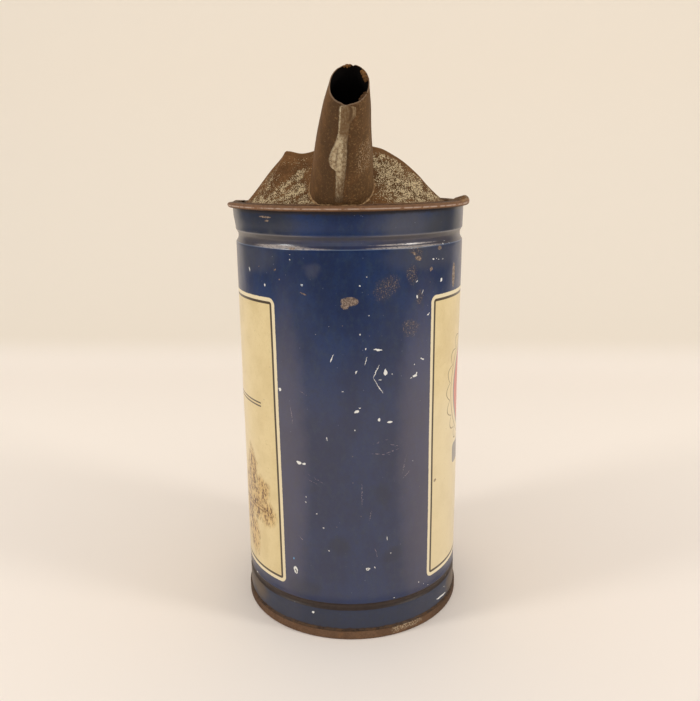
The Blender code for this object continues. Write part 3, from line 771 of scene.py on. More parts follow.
def make_spout(finish, bore_finish):
    """The tapered tube between its soldered foot and its worn mouth."""
    feet = [seat_length(2 * pi * column / SPOUT_COLUMNS - pi) for column in range(SPOUT_COLUMNS)]

    def place(across, along):
        angle = 2 * pi * across - pi
        low = feet[round(across * SPOUT_COLUMNS) % SPOUT_COLUMNS]
        return spout_point(angle, low + (mouth_length(angle) - low) * along)

    bm = laid_sheet(SPOUT_COLUMNS, SPOUT_ROWS, place)
    point_outwards(bm, spout_matrix())
    piece = add_piece("pouring_spout", bm, (finish, bore_finish), "spout")
    give_sheet(piece, SHEET, -1)
    piece.modifiers["sheet"].material_offset = 1
    piece.modifiers["sheet"].material_offset_rim = 0
    return piece


def point_outwards(bm, axis_frame):
    """Turns the faces of an open sleeve away from the axis of its frame."""
    back = axis_frame.inverted()
    bm.normal_update()
    facing = 0
    for face in bm.faces:
        middle = back @ face.calc_center_median()
        normal = back.to_3x3() @ face.normal
        facing += normal.xy.dot(middle.xy)
    if facing < 0:
        bmesh.ops.reverse_faces(bm, faces=bm.faces)


def make_crusts(finish):
    """The lumpy crusts of rust that cling inside the lip of the mouth."""
    bm = bmesh.new()
    for degrees, inwards, reach in CRUSTS:
        angle, inwards, reach = radians(degrees), inwards * MM, reach * MM
        lump = bmesh.ops.create_icosphere(bm, subdivisions=4, radius=reach)
        seat = spout_point(angle, mouth_length(angle) - reach * CRUST_SEAT_SHARE, -SHEET - inwards)
        for corner in lump["verts"]:
            swollen = corner.co * (1 + CRUST_ROUGH * rough(corner.co + seat, CRUST_ROUGH_SIZE))
            corner.co = seat + swollen
    return add_piece("mouth_rust_crusts", bm, (finish,), "spout")


def make_strip(finish):
    """The wiped solder down the spout's front seam, with its one blob at the side."""

    def place(across, along):
        length = STRIP_START + (STRIP_END - STRIP_START) * along
        turn = 2 * pi * across
        side = -cos(turn)
        table = LEFT_STRIP_REACH if side < 0 else RIGHT_STRIP_REACH
        closing = (1 - abs(2 * along - 1) ** STRIP_END_POWER) ** 0.5
        coarse, fine = STRIP_RAGGED_SIZES
        ragged = rough((length, side, 0), coarse) + STRIP_FINE_SHARE * rough((length, side, 3), fine)
        half = (eased_table(table, length / MM) * MM + STRIP_RAGGED * ragged) * closing
        radius = SPOUT_FOOT_RADIUS + (SPOUT_TIP_RADIUS - SPOUT_FOOT_RADIUS) * length / SPOUT_LENGTH
        lump = 1 + STRIP_LUMP * rough((length, side * half, 0), STRIP_LUMP_SIZE)
        crown = max(sin(turn), 0) ** STRIP_CROWN_POWER
        rise = eased_table(STRIP_RISE, length / MM) * MM * crown * lump * closing
        sunk = STRIP_SINK if sin(turn) <= 0 else 0
        return spout_point(side * half / radius, length, rise - sunk)

    bm = laid_sheet(STRIP_COLUMNS, STRIP_ROWS, place, join=FINE_JOIN)
    return add_piece("spout_seam_strip", bm, (finish,), "spout_seam_solder")


def make_foot_fillet(finish):
    """The ragged solder that fills the corner between the spout and its seat."""
    columns = SPOUT_COLUMNS * 2
    feet = [seat_length(2 * pi * column / columns) for column in range(columns)]

    def place(across, along):
        angle = 2 * pi * across
        low = feet[round(across * columns) % columns]
        ragged = 1 + FILLET_RAGGED * rough(around(SPOUT_FOOT_RADIUS, angle, 0), FILLET_RAGGED_SIZE)
        out = FILLET_WIDTH * ragged
        up = FILLET_HEIGHT * ragged
        turn = 2 * pi * along
        if along < 1 / 2:
            sweep = QUARTER * along * 2
            lift, rise = out * (1 - sin(sweep)), up * (1 - cos(sweep))
        else:
            part = along * 2 - 1
            lift, rise = -FILLET_SINK + (out + FILLET_SINK) * ease(part) * part, up * (1 - part) ** 2
            rise -= FILLET_SINK * sin(pi * part)
        point = spout_point(angle, low, lift)
        point.z = max(seat_height(point), point.z - out) + rise - FILLET_SINK * (1 + cos(turn)) / 2
        return point

    bm = laid_sheet(columns, FILLET_ROWS * 2, place)
    return add_piece("spout_foot_fillet", bm, (finish,), "spout_foot_solder")


def make_hood(finish):
    """The rim and the half cone in one sheet, open into the spout."""
    bm = laid_sheet(LEFT_COLUMNS + HOOD_COLUMNS + RIGHT_COLUMNS, FOLD_ROWS, rim_place)
    cone = laid_sheet(HOOD_COLUMNS, HOOD_ROWS, hood_place)
    loose = bpy.data.meshes.new("loose_cone")
    cone.to_mesh(loose)
    cone.free()
    bm.from_mesh(loose)
    bpy.data.meshes.remove(loose)
    bmesh.ops.remove_doubles(bm, verts=bm.verts, dist=JOIN)
    bend = [corner for corner in bm.verts
            if abs(corner.co.xy.length - HOOD_FOOT_RADIUS) < HOOD_BEND_REACH and not corner.is_boundary]
    for _ in range(HOOD_BEND_PASSES):
        bmesh.ops.smooth_vert(bm, verts=bend, factor=0.5, use_axis_x=True, use_axis_y=True, use_axis_z=True)
    cut_bore(bm)
    bmesh.ops.recalc_face_normals(bm, faces=bm.faces)
    bm.normal_update()
    upward = sum(face.normal.z for face in bm.faces if face.calc_center_median().z > FOLD_TOP + MM)
    if upward < 0:
        bmesh.ops.reverse_faces(bm, faces=bm.faces)
    piece = add_piece("rusted_hood", bm, (finish,), "hood")
    give_sheet(piece, SHEET, 0)
    return piece


def cut_bore(bm):
    """Opens the hood into the spout, with the rim of the hole drawn to the spout's bore."""
    back = spout_matrix().inverted()
    bore = SPOUT_FOOT_RADIUS - BORE_INSET

    def inside(point):
        local = back @ point
        return local.xy.length < bore and local.z > -SPOUT_TAIL and point.z > FOLD_TOP + MM

    hole = [face for face in bm.faces if inside(face.calc_center_median())]
    bmesh.ops.delete(bm, geom=hole, context="FACES")
    for corner in bm.verts:
        local = back @ corner.co
        if corner.is_boundary and local.xy.length < bore + MM and corner.co.z > FOLD_TOP + MM / 2:
            local.xy = local.xy.normalized() * bore
            corner.co = spout_matrix() @ local


def tint(red, green, blue):
    """A colour given as it is seen on a screen, 0 to 255, for the renderer."""
    parts = []
    for part in (red, green, blue):
        part /= 255
        parts.append(part / 12.92 if part <= 0.04045 else ((part + 0.055) / 1.055) ** 2.4)
    return (*parts, 1.0)


class Nodes:
    """A node tree while it is put together; what feeds a node is a plain value or a socket."""

    def __init__(self, tree):
        self.tree = tree

    def fill(self, node, values):
        """Feeds a node's inputs, from the first on or by name."""
        pairs = values.items() if isinstance(values, dict) else enumerate(values)
        for key, value in pairs:
            if isinstance(value, bpy.types.NodeSocket):
                self.tree.links.new(value, node.inputs[key])
            else:
                node.inputs[key].default_value = value

    def fed(self, kind, values=(), **settings):
        """A new node with its settings and inputs."""
        node = self.tree.nodes.new("ShaderNode" + kind)
        for name, value in settings.items():
            setattr(node, name, value)
        self.fill(node, values)
        return node

    def calc(self, operation, first, second=0.0, third=0.0):
        return self.fed("Math", (first, second, third), operation=operation).outputs[0]

    def vector(self, operation, first, second=(0, 0, 0)):
        node = self.fed("VectorMath", (first, second), operation=operation)
        return node.outputs["Value" if operation in ("LENGTH", "DOT_PRODUCT") else "Vector"]

    def joined(self, across, up, depth=0.0):
        return self.fed("CombineXYZ", (across, up, depth)).outputs[0]

    def times(self, *values):
        return reduce(lambda first, second: self.calc("MULTIPLY", first, second), values)

    def most(self, *values):
        return reduce(lambda first, second: self.calc("MAXIMUM", first, second), values)

    def minus(self, first, second):
        return self.calc("SUBTRACT", first, second)

    def rest(self, share):
        """What a share leaves of 1."""
        return self.minus(1, share)

    def line(self, value, factor, start):
        """A value times a factor, added to a start."""
        return self.calc("MULTIPLY_ADD", value, factor, start)

    def away(self, value, centre):
        """How far a value is from a centre, to either side."""
        return self.calc("ABSOLUTE", self.minus(value, centre))

    def band(self, value, low, high):
        """A soft step from 0 at low to 1 at high; low may be the larger."""
        return self.fed("MapRange", (value, low, high), interpolation_type="SMOOTHSTEP").outputs[0]

    def stripe(self, value, centre, none, full):
        """1 as near to the centre as full, and 0 from as far as none."""
        return self.band(self.away(value, centre), none, full)

    def window(self, value, opens, opened, closes, closed):
        """1 between two soft steps, up and down again."""
        return self.times(self.band(value, opens, opened), self.band(value, closed, closes))


class Finish(Nodes):
    """One procedural finish; its colour is what lies on top so far, and its lengths are in mm."""

    def __init__(self, name):
        self.material = bpy.data.materials.new(name)
        self.material.use_nodes = True
        super().__init__(self.material.node_tree)
        self.shader = self.tree.nodes["Principled BSDF"]
        self.place = self.fed("TexCoord").outputs["Object"]
        self.colour = None

    def kept(self, name):
        """A share that the mesh keeps at its corners."""
        return self.fed("Attribute", attribute_name=name).outputs["Fac"]

    def cloud(self, size, detail=3.0, stretch=(1, 1, 1), move=0.0, roughness=0.55):
        """Noise from 0 to 1 with lumps of about a size."""
        values = {"Vector": self.place, "Location": (move * MM,) * 3, "Scale": stretch}
        place = self.fed("Mapping", values).outputs[0]
        values = {"Vector": place, "Scale": 1 / (size * MM), "Detail": detail, "Roughness": roughness}
        return self.fed("TexNoise", values).outputs["Fac"]

    def specks(self, cell, share, radius):
        """Round specks, one at most in each cell, in a share of the cells."""
        node = self.fed("TexVoronoi", {"Vector": self.place, "Scale": 1 / (cell * MM)})
        split = self.fed("SeparateColor", (node.outputs["Color"],))
        chosen = self.band(split.outputs[0], share, share - 0.02)
        limit = self.times(self.line(split.outputs[1], 0.7, 0.4), radius / cell)
        return self.times(chosen, self.calc("LESS_THAN", node.outputs["Distance"], limit))

    def over(self, share, under, top):
        """One colour laid over another by a share; a plain colour is as seen on a screen."""
        under, top = (tint(*side) if isinstance(side, tuple) else side for side in (under, top))
        return self.fed("Mix", {0: share, 6: under, 7: top}, data_type="RGBA").outputs[2]

    def lay(self, top, *shares):
        """Lays a colour over the finish by the product of shares."""
        self.colour = self.over(self.times(*shares), self.colour, top)

    def unrolled(self):
        """Azimuth, distance round the wall and height."""
        split = self.fed("SeparateXYZ", (self.place,))
        azimuth = self.calc("ARCTAN2", split.outputs["X"], self.times(split.outputs["Y"], -1.0))
        return azimuth, self.times(azimuth, WALL_RADIUS / MM), self.times(split.outputs["Z"], 1 / MM)

    def wobbled(self, run, height, size, reach, detail=2):
        """The place on the unrolled wall, wobbled so that marks on it aren't round."""
        sideways = self.line(self.cloud(size, detail), reach, run)
        upwards = self.line(self.cloud(size, detail, move=50), reach, height)
        half = reach / 2
        return self.joined(self.minus(sideways, half), self.minus(upwards, half), 1.0)

    def marks(self, place, table, soft):
        """Mask of all the oval marks of a table; soft is how far their edges fade."""
        nearest = FAR_OFF
        for azimuth, height, half_width, half_height, turn in table:
            centre = Vector((radians(azimuth) * WALL_RADIUS / MM, height))
            along = Vector((cos(radians(turn)), sin(radians(turn))))
            beside = Vector((-along.y, along.x))
            # The place's third part is 1, so that one product also takes off the centre
            parts = [self.vector("DOT_PRODUCT", place, (*(line / half), -line.dot(centre) / half))
                     for line, half in ((along, half_width), (beside, half_height))]
            square = self.line(parts[1], parts[1], self.times(parts[0], parts[0]))
            nearest = self.calc("MINIMUM", square, nearest)
        return self.band(nearest, (1 + soft) ** 2, (1 - soft) ** 2)

    def close(self, roughness, relief, metallic=0.0, shine=0.15, lacquer=0.0, dusty=0.0):
        """Joins the colour, a roughness and a relief to the shader."""
        bump = self.fed("Bump", {"Distance": MM, "Height": relief})
        self.fill(self.shader, {
            "Base Color": self.colour, "Roughness": roughness, "Metallic": metallic,
            "Specular IOR Level": shine, "Coat Weight": lacquer, "Coat Roughness": LACQUER_ROUGHNESS,
            "Sheen Weight": dusty, "Sheen Roughness": DUST_ROUGHNESS, "Sheen Tint": tint(*DUST_COLOUR),
            "Normal": bump.outputs[0],
        })
        return self.material


def litho_finish():
    """Blue lithographed tin with its two cream labels, chipped, rubbed and rust-specked, with painted
    reflections, highlights and shade on the blue.
    """
    f = Finish("blue_and_cream_litho")
    azimuth, run, height = f.unrolled()
    frayed = f.wobbled(run, height, 0.9, 1.2, 4)
    loose = f.wobbled(run, height, 7, 6.0)

    lay_blue(f, run, height, loose)
    label = lay_labels(f, azimuth, height, loose)

    rust_specks = f.band(f.cloud(0.42, 2), 0.56, 0.62)
    film = f.marks(loose, RUST_PATCHES, 0.5)
    f.lay((62, 56, 58), film, 0.35)
    brown = f.most(f.marks(frayed, BROWN_CHIPS, 0.12), f.times(film, rust_specks, 0.8))
    bare = f.over(f.band(f.cloud(0.5, 3), 0.42, 0.62), (104, 84, 68), (160, 138, 118))
    f.lay((118, 108, 98), f.specks(3.1, 0.12, 0.26), 0.5)
    f.lay(bare, brown, 0.85)
    broken = f.band(f.cloud(0.8, 2), 0.45, 0.55)
    f.lay((152, 136, 138), f.marks(frayed, DULL_SCRATCHES, 0.4), broken, 0.65)
    off_label = f.rest(label)
    pin = f.times(f.specks(5.0, 0.12, 0.20), off_label, 0.6)
    f.lay((122, 128, 144), f.specks(2.3, 0.30, 0.16), off_label, 0.5)
    white = f.most(f.marks(frayed, WHITE_CHIPS, 0.10), pin)
    f.lay((228, 226, 220), white)
    f.lay((96, 92, 90), f.marks(frayed, DARK_CENTRES, 0.2))
    f.lay((96, 150, 196), f.marks(frayed, BLUISH_CHIPS, 0.2))

    gloss = f.line(f.cloud(6, 4), 0.16, 0.34)
    gloss = f.line(f.most(brown, white), 0.22, gloss)
    relief = f.minus(f.times(f.cloud(2.2, 3), 0.016), f.times(brown, 0.03))
    lacquer = f.times(f.band(height, *LACQUER_FADE), LACQUER_WEIGHT)
    return f.close(gloss, relief, shine=0.3, lacquer=lacquer, dusty=0.12)


def lay_blue(f, run, height, loose):
    """The blue ground with its smudges, smears and dust, a painted reflection of the floor lower down and
    painted lamp reflections at the sides.
    """
    blotch = f.band(f.cloud(15, 4, (1, 1, 0.6)), 0.38, 0.64)
    f.colour = f.over(blotch, (5, 32, 76), (13, 43, 90))
    f.lay((44, 62, 78), f.band(f.cloud(2.2, 6, (1, 1, 0.6), roughness=0.75), 0.44, 0.70), 0.38)
    f.lay((8, 24, 52), f.band(f.cloud(0.9, 5, move=40, roughness=0.8), 0.50, 0.62), 0.28)
    f.lay((20, 34, 62), f.band(f.cloud(5, 5, roughness=0.7), 0.50, 0.68), 0.35)
    # Painted reflection of the floor: the blue greyer and lighter towards the bottom
    f.lay((88, 82, 86), f.band(height, 126, 86), 0.28)
    # Dirt, smears and the painted lamp reflections, from the table
    for table, soft, colour, share in BLUE_WEAR_AND_REFLECTIONS:
        f.lay(colour, f.marks(loose, table, soft), share)
    lay_grooves(f, run, height, loose)


def lay_grooves(f, run, height, loose):
    """The dust in the grooves, painted shade, reflections and highlights along the upper groove, the dark
    foot, rust near the bottom and painted shade under the rim.
    """
    straight = f.joined(run, height, 1.0)
    upper, lower = UPPER_GROOVE[0] / MM, LOWER_GROOVE[0] / MM
    from_upper = f.minus(height, upper)
    from_lower = f.away(height, lower)
    grime = f.cloud(1.8, 4)
    in_upper = f.band(f.calc("ABSOLUTE", from_upper), 2.5, 2.0)
    beside = f.band(f.calc("ABSOLUTE", run), 3.0, 18.0)
    settled = f.line(grime, 0.35, f.line(beside, 0.22, 0.06))
    f.lay((82, 68, 58), in_upper, settled)
    # Painted shade under the upper groove's top shoulder
    f.lay((36, 34, 38), f.stripe(from_upper, 1.3, 0.7, 0.3), 0.5)
    # Painted reflection in the upper groove's trough, lighter and bluer at the front
    f.lay((104, 114, 136), f.stripe(from_upper, -0.4, 0.9, 0.4), f.line(beside, -0.17, 0.22))
    # Painted reflection of the floor along the upper groove's top crease
    f.lay((128, 124, 126), f.stripe(from_upper, 2.2, 0.26, 0.10), beside, 0.35)
    # Painted highlight of a cool light along the upper groove's bottom crease
    f.lay((122, 138, 162), f.stripe(from_upper, -2.3, 0.26, 0.10), 0.40)
    # Painted lamp highlights on the groove's lower shoulder, broken up by noise
    broken = f.band(f.cloud(0.5, 4, (0.4, 0.4, 2)), 0.30, 0.55)
    f.lay((194, 182, 174), f.marks(straight, GROOVE_HIGHLIGHTS, 0.5), broken, 0.7)
    in_lower = f.band(f.line(grime, 0.3, from_lower), 1.75, 1.45)
    f.lay((58, 60, 66), f.band(height, lower, lower - 2), f.line(grime, 0.5, 0.3))
    f.lay((96, 78, 56), f.marks(loose, FOOT_STAINS, 0.7), 0.75)
    f.lay(f.over(grime, (44, 34, 30), (70, 56, 48)), in_lower)
    low_rust = f.band(f.line(grime, 1.6, height), 5.8, 5.2)
    # Painted shade under the rim's overhang: a dark band with a ragged lower edge
    under_rim_shade = f.band(f.line(grime, -1.6, height), 162.4, 163.6)
    f.lay((44, 36, 34), under_rim_shade, 0.85)
    f.lay((62, 46, 38), low_rust)


def lay_labels(f, azimuth, height, loose):
    """The cream labels with border, ornament and stains; gives back where they are."""
    turned_by = f.minus(azimuth, FRONT_AZIMUTH)
    wrapped = f.calc("FLOORED_MODULO", turned_by, pi)
    across = f.times(f.minus(wrapped, QUARTER), WALL_RADIUS / MM)
    on_right = f.calc("GREATER_THAN", azimuth, FRONT_AZIMUTH)
    slant = f.line(on_right, RIGHT_LABEL_SLANT - LEFT_LABEL_SLANT, LEFT_LABEL_SLANT)
    middle = (LABEL_LOW + LABEL_HIGH) / 2
    raised = f.minus(height, middle)
    across = f.line(raised, slant, across)
    half_height = (LABEL_HIGH - LABEL_LOW) / 2
    inset = (LABEL_HALF_WIDTH - LABEL_CORNER, half_height - LABEL_CORNER, 0)
    sides = f.vector("ABSOLUTE", f.joined(across, raised))
    corner = f.vector("MAXIMUM", f.vector("SUBTRACT", sides, inset), (0, 0, 0))
    edge = f.minus(f.vector("LENGTH", corner), LABEL_CORNER)
    fray = f.times(f.minus(f.cloud(1.1, 3), 0.5), 0.35)
    label = f.band(f.calc("ADD", edge, fray), 0.08, -0.08)

    mottle = f.band(f.cloud(9, 5), 0.35, 0.70)
    blue, f.colour = f.colour, f.over(mottle, (222, 200, 149), (213, 190, 138))
    f.lay((196, 170, 120), f.band(f.cloud(0.9, 3), 0.50, 0.72), 0.25)
    f.lay((226, 211, 176), on_right, f.band(height, 104, 84), 0.45)
    f.lay((234, 221, 190), f.band(edge, -BORDER_INSET, -BORDER_INSET + 0.3), 0.6)
    line = f.stripe(edge, -BORDER_INSET, BORDER_HALF_LINE + 0.1, BORDER_HALF_LINE)
    rules = f.times(rule_lines(f, across, height), f.rest(on_right))
    f.lay((44, 26, 10), f.most(line, rules), 0.95)
    lay_rosette(f, across, raised, on_right)

    stain_shape = f.marks(loose, LABEL_STAINS, 0.8)
    spread = f.cloud(1.6, 7, (1, 1, 0.6), roughness=0.8)
    f.lay((204, 160, 86), stain_shape, 0.6)
    f.lay((132, 92, 34), stain_shape, f.band(spread, 0.46, 0.54), 0.75)
    f.lay((78, 46, 18), stain_shape, f.band(spread, 0.52, 0.57), 0.85)
    freckle = f.most(f.specks(4.2, 0.35, 0.28), f.specks(1.9, 0.20, 0.14))
    f.lay((140, 106, 62), freckle, 0.5)
    f.colour = f.over(label, blue, f.colour)
    return label


def rule_lines(f, across, height):
    """The plain double rules across the left label."""
    within = f.band(f.calc("ABSOLUTE", across), RULE_HALF_LENGTH + 0.2, RULE_HALF_LENGTH - 0.2)
    rules = 0.0
    for rule_height in RULE_HEIGHTS:
        rules = f.calc("MAXIMUM", f.stripe(height, rule_height, 0.36, 0.22), rules)
    return f.times(rules, within)


def lay_rosette(f, across, raised, on_right):
    """A plain round rosette in red and slate blue over a slate bar, on the right label only."""
    up = f.minus(raised, ROSETTE_RAISED)
    distance = f.vector("LENGTH", f.joined(across, up))
    turn = f.calc("ARCTAN2", up, across)
    petal = f.calc("ABSOLUTE", f.calc("COSINE", f.times(turn, PETAL_FOLDS)))
    in_petal = f.band(f.minus(distance, f.line(petal, 5.0, 6.0)), ROSETTE_SOFT, 0.0)
    disc = f.times(on_right, f.band(distance, ROSETTE_RADIUS, ROSETTE_RADIUS - ROSETTE_SOFT))
    ring = f.times(on_right, f.band(distance, ROSETTE_RING, ROSETTE_RING - ROSETTE_SOFT))
    scallop = f.calc("ABSOLUTE", f.calc("COSINE", f.times(turn, LACE_FOLDS)))
    lace = f.stripe(f.line(scallop, -3.0, distance), 24.6, 0.34, 0.20)
    lace = f.most(lace, f.stripe(distance, 23.4, 0.30, 0.18))
    bar_sides = f.vector("ABSOLUTE", f.joined(across, f.calc("ADD", up, BAR_DROP)))
    bar_over = f.vector("MAXIMUM", f.vector("SUBTRACT", bar_sides, BAR_HALF_SIDES), (0, 0, 0))
    bar = f.times(on_right, f.band(f.vector("LENGTH", bar_over), BAR_ROUND, BAR_ROUND - ROSETTE_SOFT))
    f.lay((92, 96, 108), f.most(ring, bar), 0.8)
    f.lay((206, 96, 82), disc, 0.9)
    f.lay((228, 202, 152), disc, in_petal, 0.9)
    f.lay((104, 80, 52), lace, on_right, 0.8)


def inner_tin_finish():
    """The unpainted inside of the wall: dull tin gone brown."""
    f = Finish("dull_inner_tin")
    rust = f.band(f.cloud(7, 6, roughness=0.65), 0.40, 0.60)
    f.colour = f.over(f.cloud(2, 4), (124, 94, 64), (88, 64, 42))
    f.lay((80, 56, 40), rust, 0.8)
    return f.close(f.line(rust, 0.3, 0.45), f.times(f.cloud(0.8, 4), 0.03))


def rust_ground(f, under, light, dark):
    """Brown rust of three tones; gives back how dark its grain is."""
    patch = f.band(f.cloud(7, 4), 0.36, 0.62)
    grain = f.band(f.cloud(0.7, 4, roughness=0.7), 0.40, 0.66)
    f.colour = f.over(f.times(grain, 0.5), f.over(patch, under, light), dark)
    f.lay((142, 100, 58), f.band(f.cloud(3.2, 5), 0.55, 0.72), 0.25)
    return grain


def rust_relief(f, grain, tin):
    """Roughness and relief of rust with tin in it."""
    gloss = f.minus(f.line(grain, 0.2, 0.55), f.times(tin, 0.12))
    relief = f.line(tin, 0.02, f.times(f.cloud(0.9, 5, roughness=0.7), 0.06))
    return gloss, relief


def hood_finish():
    """Brown hood and rim, with clusters of bright tin specks left on the hood, painted shade and highlight
    on the rim's fold and a painted highlight along the hood's free edge.
    """
    f = Finish("speckled_hood_rust")
    azimuth, run, height = f.unrolled()
    grain = rust_ground(f, (121, 83, 47), (99, 66, 35), (64, 42, 22))
    along = f.kept("along")
    foot = HOOD_FOOT_HEIGHT / MM
    above = f.band(height, foot + 0.2, foot + 0.8)
    on_rim = f.rest(above)
    fold = f.times(on_rim, f.band(along, 0.86, 0.76))
    f.lay((144, 106, 78), fold, 0.7)
    scuffed = f.band(f.cloud(1.2, 5, (1, 1, 4), roughness=0.75), 0.44, 0.60)
    f.lay((84, 58, 40), on_rim, scuffed, 0.5)
    # Painted shade in the crease across the fold
    f.lay((88, 64, 52), fold, f.stripe(along, 0.60, 0.07, 0.03), 0.3)
    # Painted highlight along the fold's outer edge, broken up in streaks
    fold_highlight_streaks = f.band(f.cloud(2.5, 4, (1, 1, 0.5)), 0.36, 0.56)
    f.lay((184, 164, 148), fold, f.times(f.stripe(along, 0.42, 0.08, 0.02), fold_highlight_streaks), 0.75)
    # Painted shade on the fold's underside
    f.lay((56, 40, 32), fold, f.band(along, 0.31, 0.24), 0.6)
    f.lay((82, 58, 38), on_rim, f.band(along, 0.78, 0.88), 0.6)
    on_ear = f.band(azimuth, EAR_AZIMUTH - 0.12, EAR_AZIMUTH - 0.05)
    f.lay((170, 136, 92), fold, on_ear, f.band(along, 0.50, 0.60), 0.7)

    loose = f.wobbled(run, height, 3, 4.0)
    region = f.most(f.marks(loose, HOOD_TIN, 0.45), f.times(f.marks(loose, FAINT_HOOD_TIN, 0.6), 0.5))
    fine = f.line(f.cloud(2.2, 3), 0.50, f.cloud(0.40, 2.5, roughness=0.6))
    fine = f.line(region, 0.14, fine)
    inner = f.times(above, f.band(along, 0.95, 0.84))
    f.lay((58, 37, 18), region, inner, f.band(fine, 0.78, 0.84), 0.65)
    tin = f.times(inner, f.band(fine, 0.885, 0.93))
    f.lay((210, 187, 146), tin, 0.9)
    f.lay((104, 72, 42), above, f.band(along, 0.88, 0.94), 0.5)
    # Painted highlight along the hood's free edge
    f.lay((150, 112, 72), above, f.band(along, 0.975, 0.99), 0.3)
    return f.close(*rust_relief(f, grain, tin), f.times(tin, 0.1))


def spout_finish():
    """Olive-brown spout: painted light on both flanks, painted shade left of the seam, pale worn lip, dark
    foot, a few specks of tin at the right.
    """
    f = Finish("brown_spout_rust")
    grain = rust_ground(f, (94, 64, 35), (80, 54, 28), (58, 39, 20))
    across, along = f.kept("across"), f.kept("along")
    # Painted light from the left lamp on the left flank
    f.lay((128, 91, 58), f.band(across, 0.40, 0.30), 0.45)
    # Painted light on the right flank
    f.lay((124, 92, 58), f.band(across, 0.56, 0.70), 0.35)
    # Painted shade in a band just left of the seam strip
    f.lay((66, 46, 28), f.window(across, 0.36, 0.42, 0.46, 0.50), 0.45)
    streaked = f.band(f.cloud(0.9, 3, (1, 1, 0.25)), 0.35, 0.6)
    f.lay((56, 38, 26), f.band(along, 0.15, 0.02), streaked, 0.26)
    f.lay((58, 40, 24), f.stripe(across, LAP_SHARE, 0.006, 0.002), 0.4)
    worn = f.band(f.cloud(0.7, 5, roughness=0.75), 0.50, 0.64)
    f.lay((146, 112, 73), worn, f.line(f.band(across, 0.44, 0.62), 0.32, 0.38))
    f.lay((72, 52, 28), f.band(f.cloud(1.6, 4, (1, 1, 0.12), move=9), 0.40, 0.62), 0.35)
    pocked = f.band(f.cloud(0.8, 5, (1, 1, 0.7), move=20, roughness=0.75), 0.54, 0.64)
    f.lay((54, 37, 23), pocked, f.line(f.band(along, 0.4, 0.0), 0.15, 0.30))
    patch = f.times(f.window(across, 0.57, 0.62, 0.68, 0.73), f.band(along, 0.28, 0.38))
    patch = f.times(patch, f.band(along, 0.64, 0.54))
    tin = f.times(patch, f.band(f.cloud(0.45, 2.5, roughness=0.6), 0.54, 0.60))
    tin = f.most(tin, f.times(f.specks(1.4, 0.22, 0.15), 0.5))
    f.lay((176, 150, 116), tin, 0.7)
    f.lay((144, 120, 98), f.band(along, 0.985, 0.994), 0.45)
    return f.close(*rust_relief(f, grain, tin))


def base_finish():
    """Even brown rust on the base, painted darker round the sides and back as shade, with a patch of tin
    specks at the front right.
    """
    f = Finish("base_rust")
    azimuth, run, height = f.unrolled()
    grain = rust_ground(f, (118, 89, 66), (106, 79, 58), (78, 56, 42))
    loose = f.wobbled(run, height, 3, 2.0)
    # Painted shade: darker away from the front
    f.lay((66, 44, 30), f.band(f.calc("ABSOLUTE", azimuth), 0.5, 1.3), 0.6)
    tin = f.times(f.marks(loose, BASE_TIN, 0.5), f.band(f.cloud(0.45, 2.5, roughness=0.6), 0.50, 0.57))
    f.lay((190, 170, 140), tin, 0.85)
    return f.close(*rust_relief(f, grain, tin))


def crust_finish():
    """The orange-brown rust of the crusts at the mouth."""
    f = Finish("crust_rust")
    grain = rust_ground(f, (124, 84, 42), (96, 64, 32), (60, 40, 20))
    height = f.unrolled()[2]
    f.lay((58, 38, 22), f.band(height, 207, 203), 0.7)
    return f.close(*rust_relief(f, grain, 0.0))


def solder_ground(f, bright, dull, grime_share):
    """Dull lead solder with brown grime and pits; gives back where these are."""
    f.colour = f.over(f.band(f.cloud(1.4, 4), 0.35, 0.65), dull, bright)
    grime = f.band(f.cloud(2.4, 5, roughness=0.65), 0.75 - 0.5 * grime_share, 0.92 - 0.5 * grime_share)
    f.lay((92, 68, 48), grime)
    pit = f.specks(0.9, 0.25, 0.16)
    f.lay((58, 44, 34), pit, 0.8)
    return grime, pit


def solder_relief(f, grime, pit):
    """Roughness and relief of pitted solder."""
    gloss = f.line(grime, 0.2, 0.46)
    relief = f.minus(f.times(f.cloud(0.7, 4), 0.08), f.times(pit, 0.06))
    return gloss, relief


def solder_finish(name, bright, dull, grime_share):
    """Plain solder of one tone."""
    f = Finish(name)
    grime, pit = solder_ground(f, bright, dull, grime_share)
    return f.close(*solder_relief(f, grime, pit), 0.2)


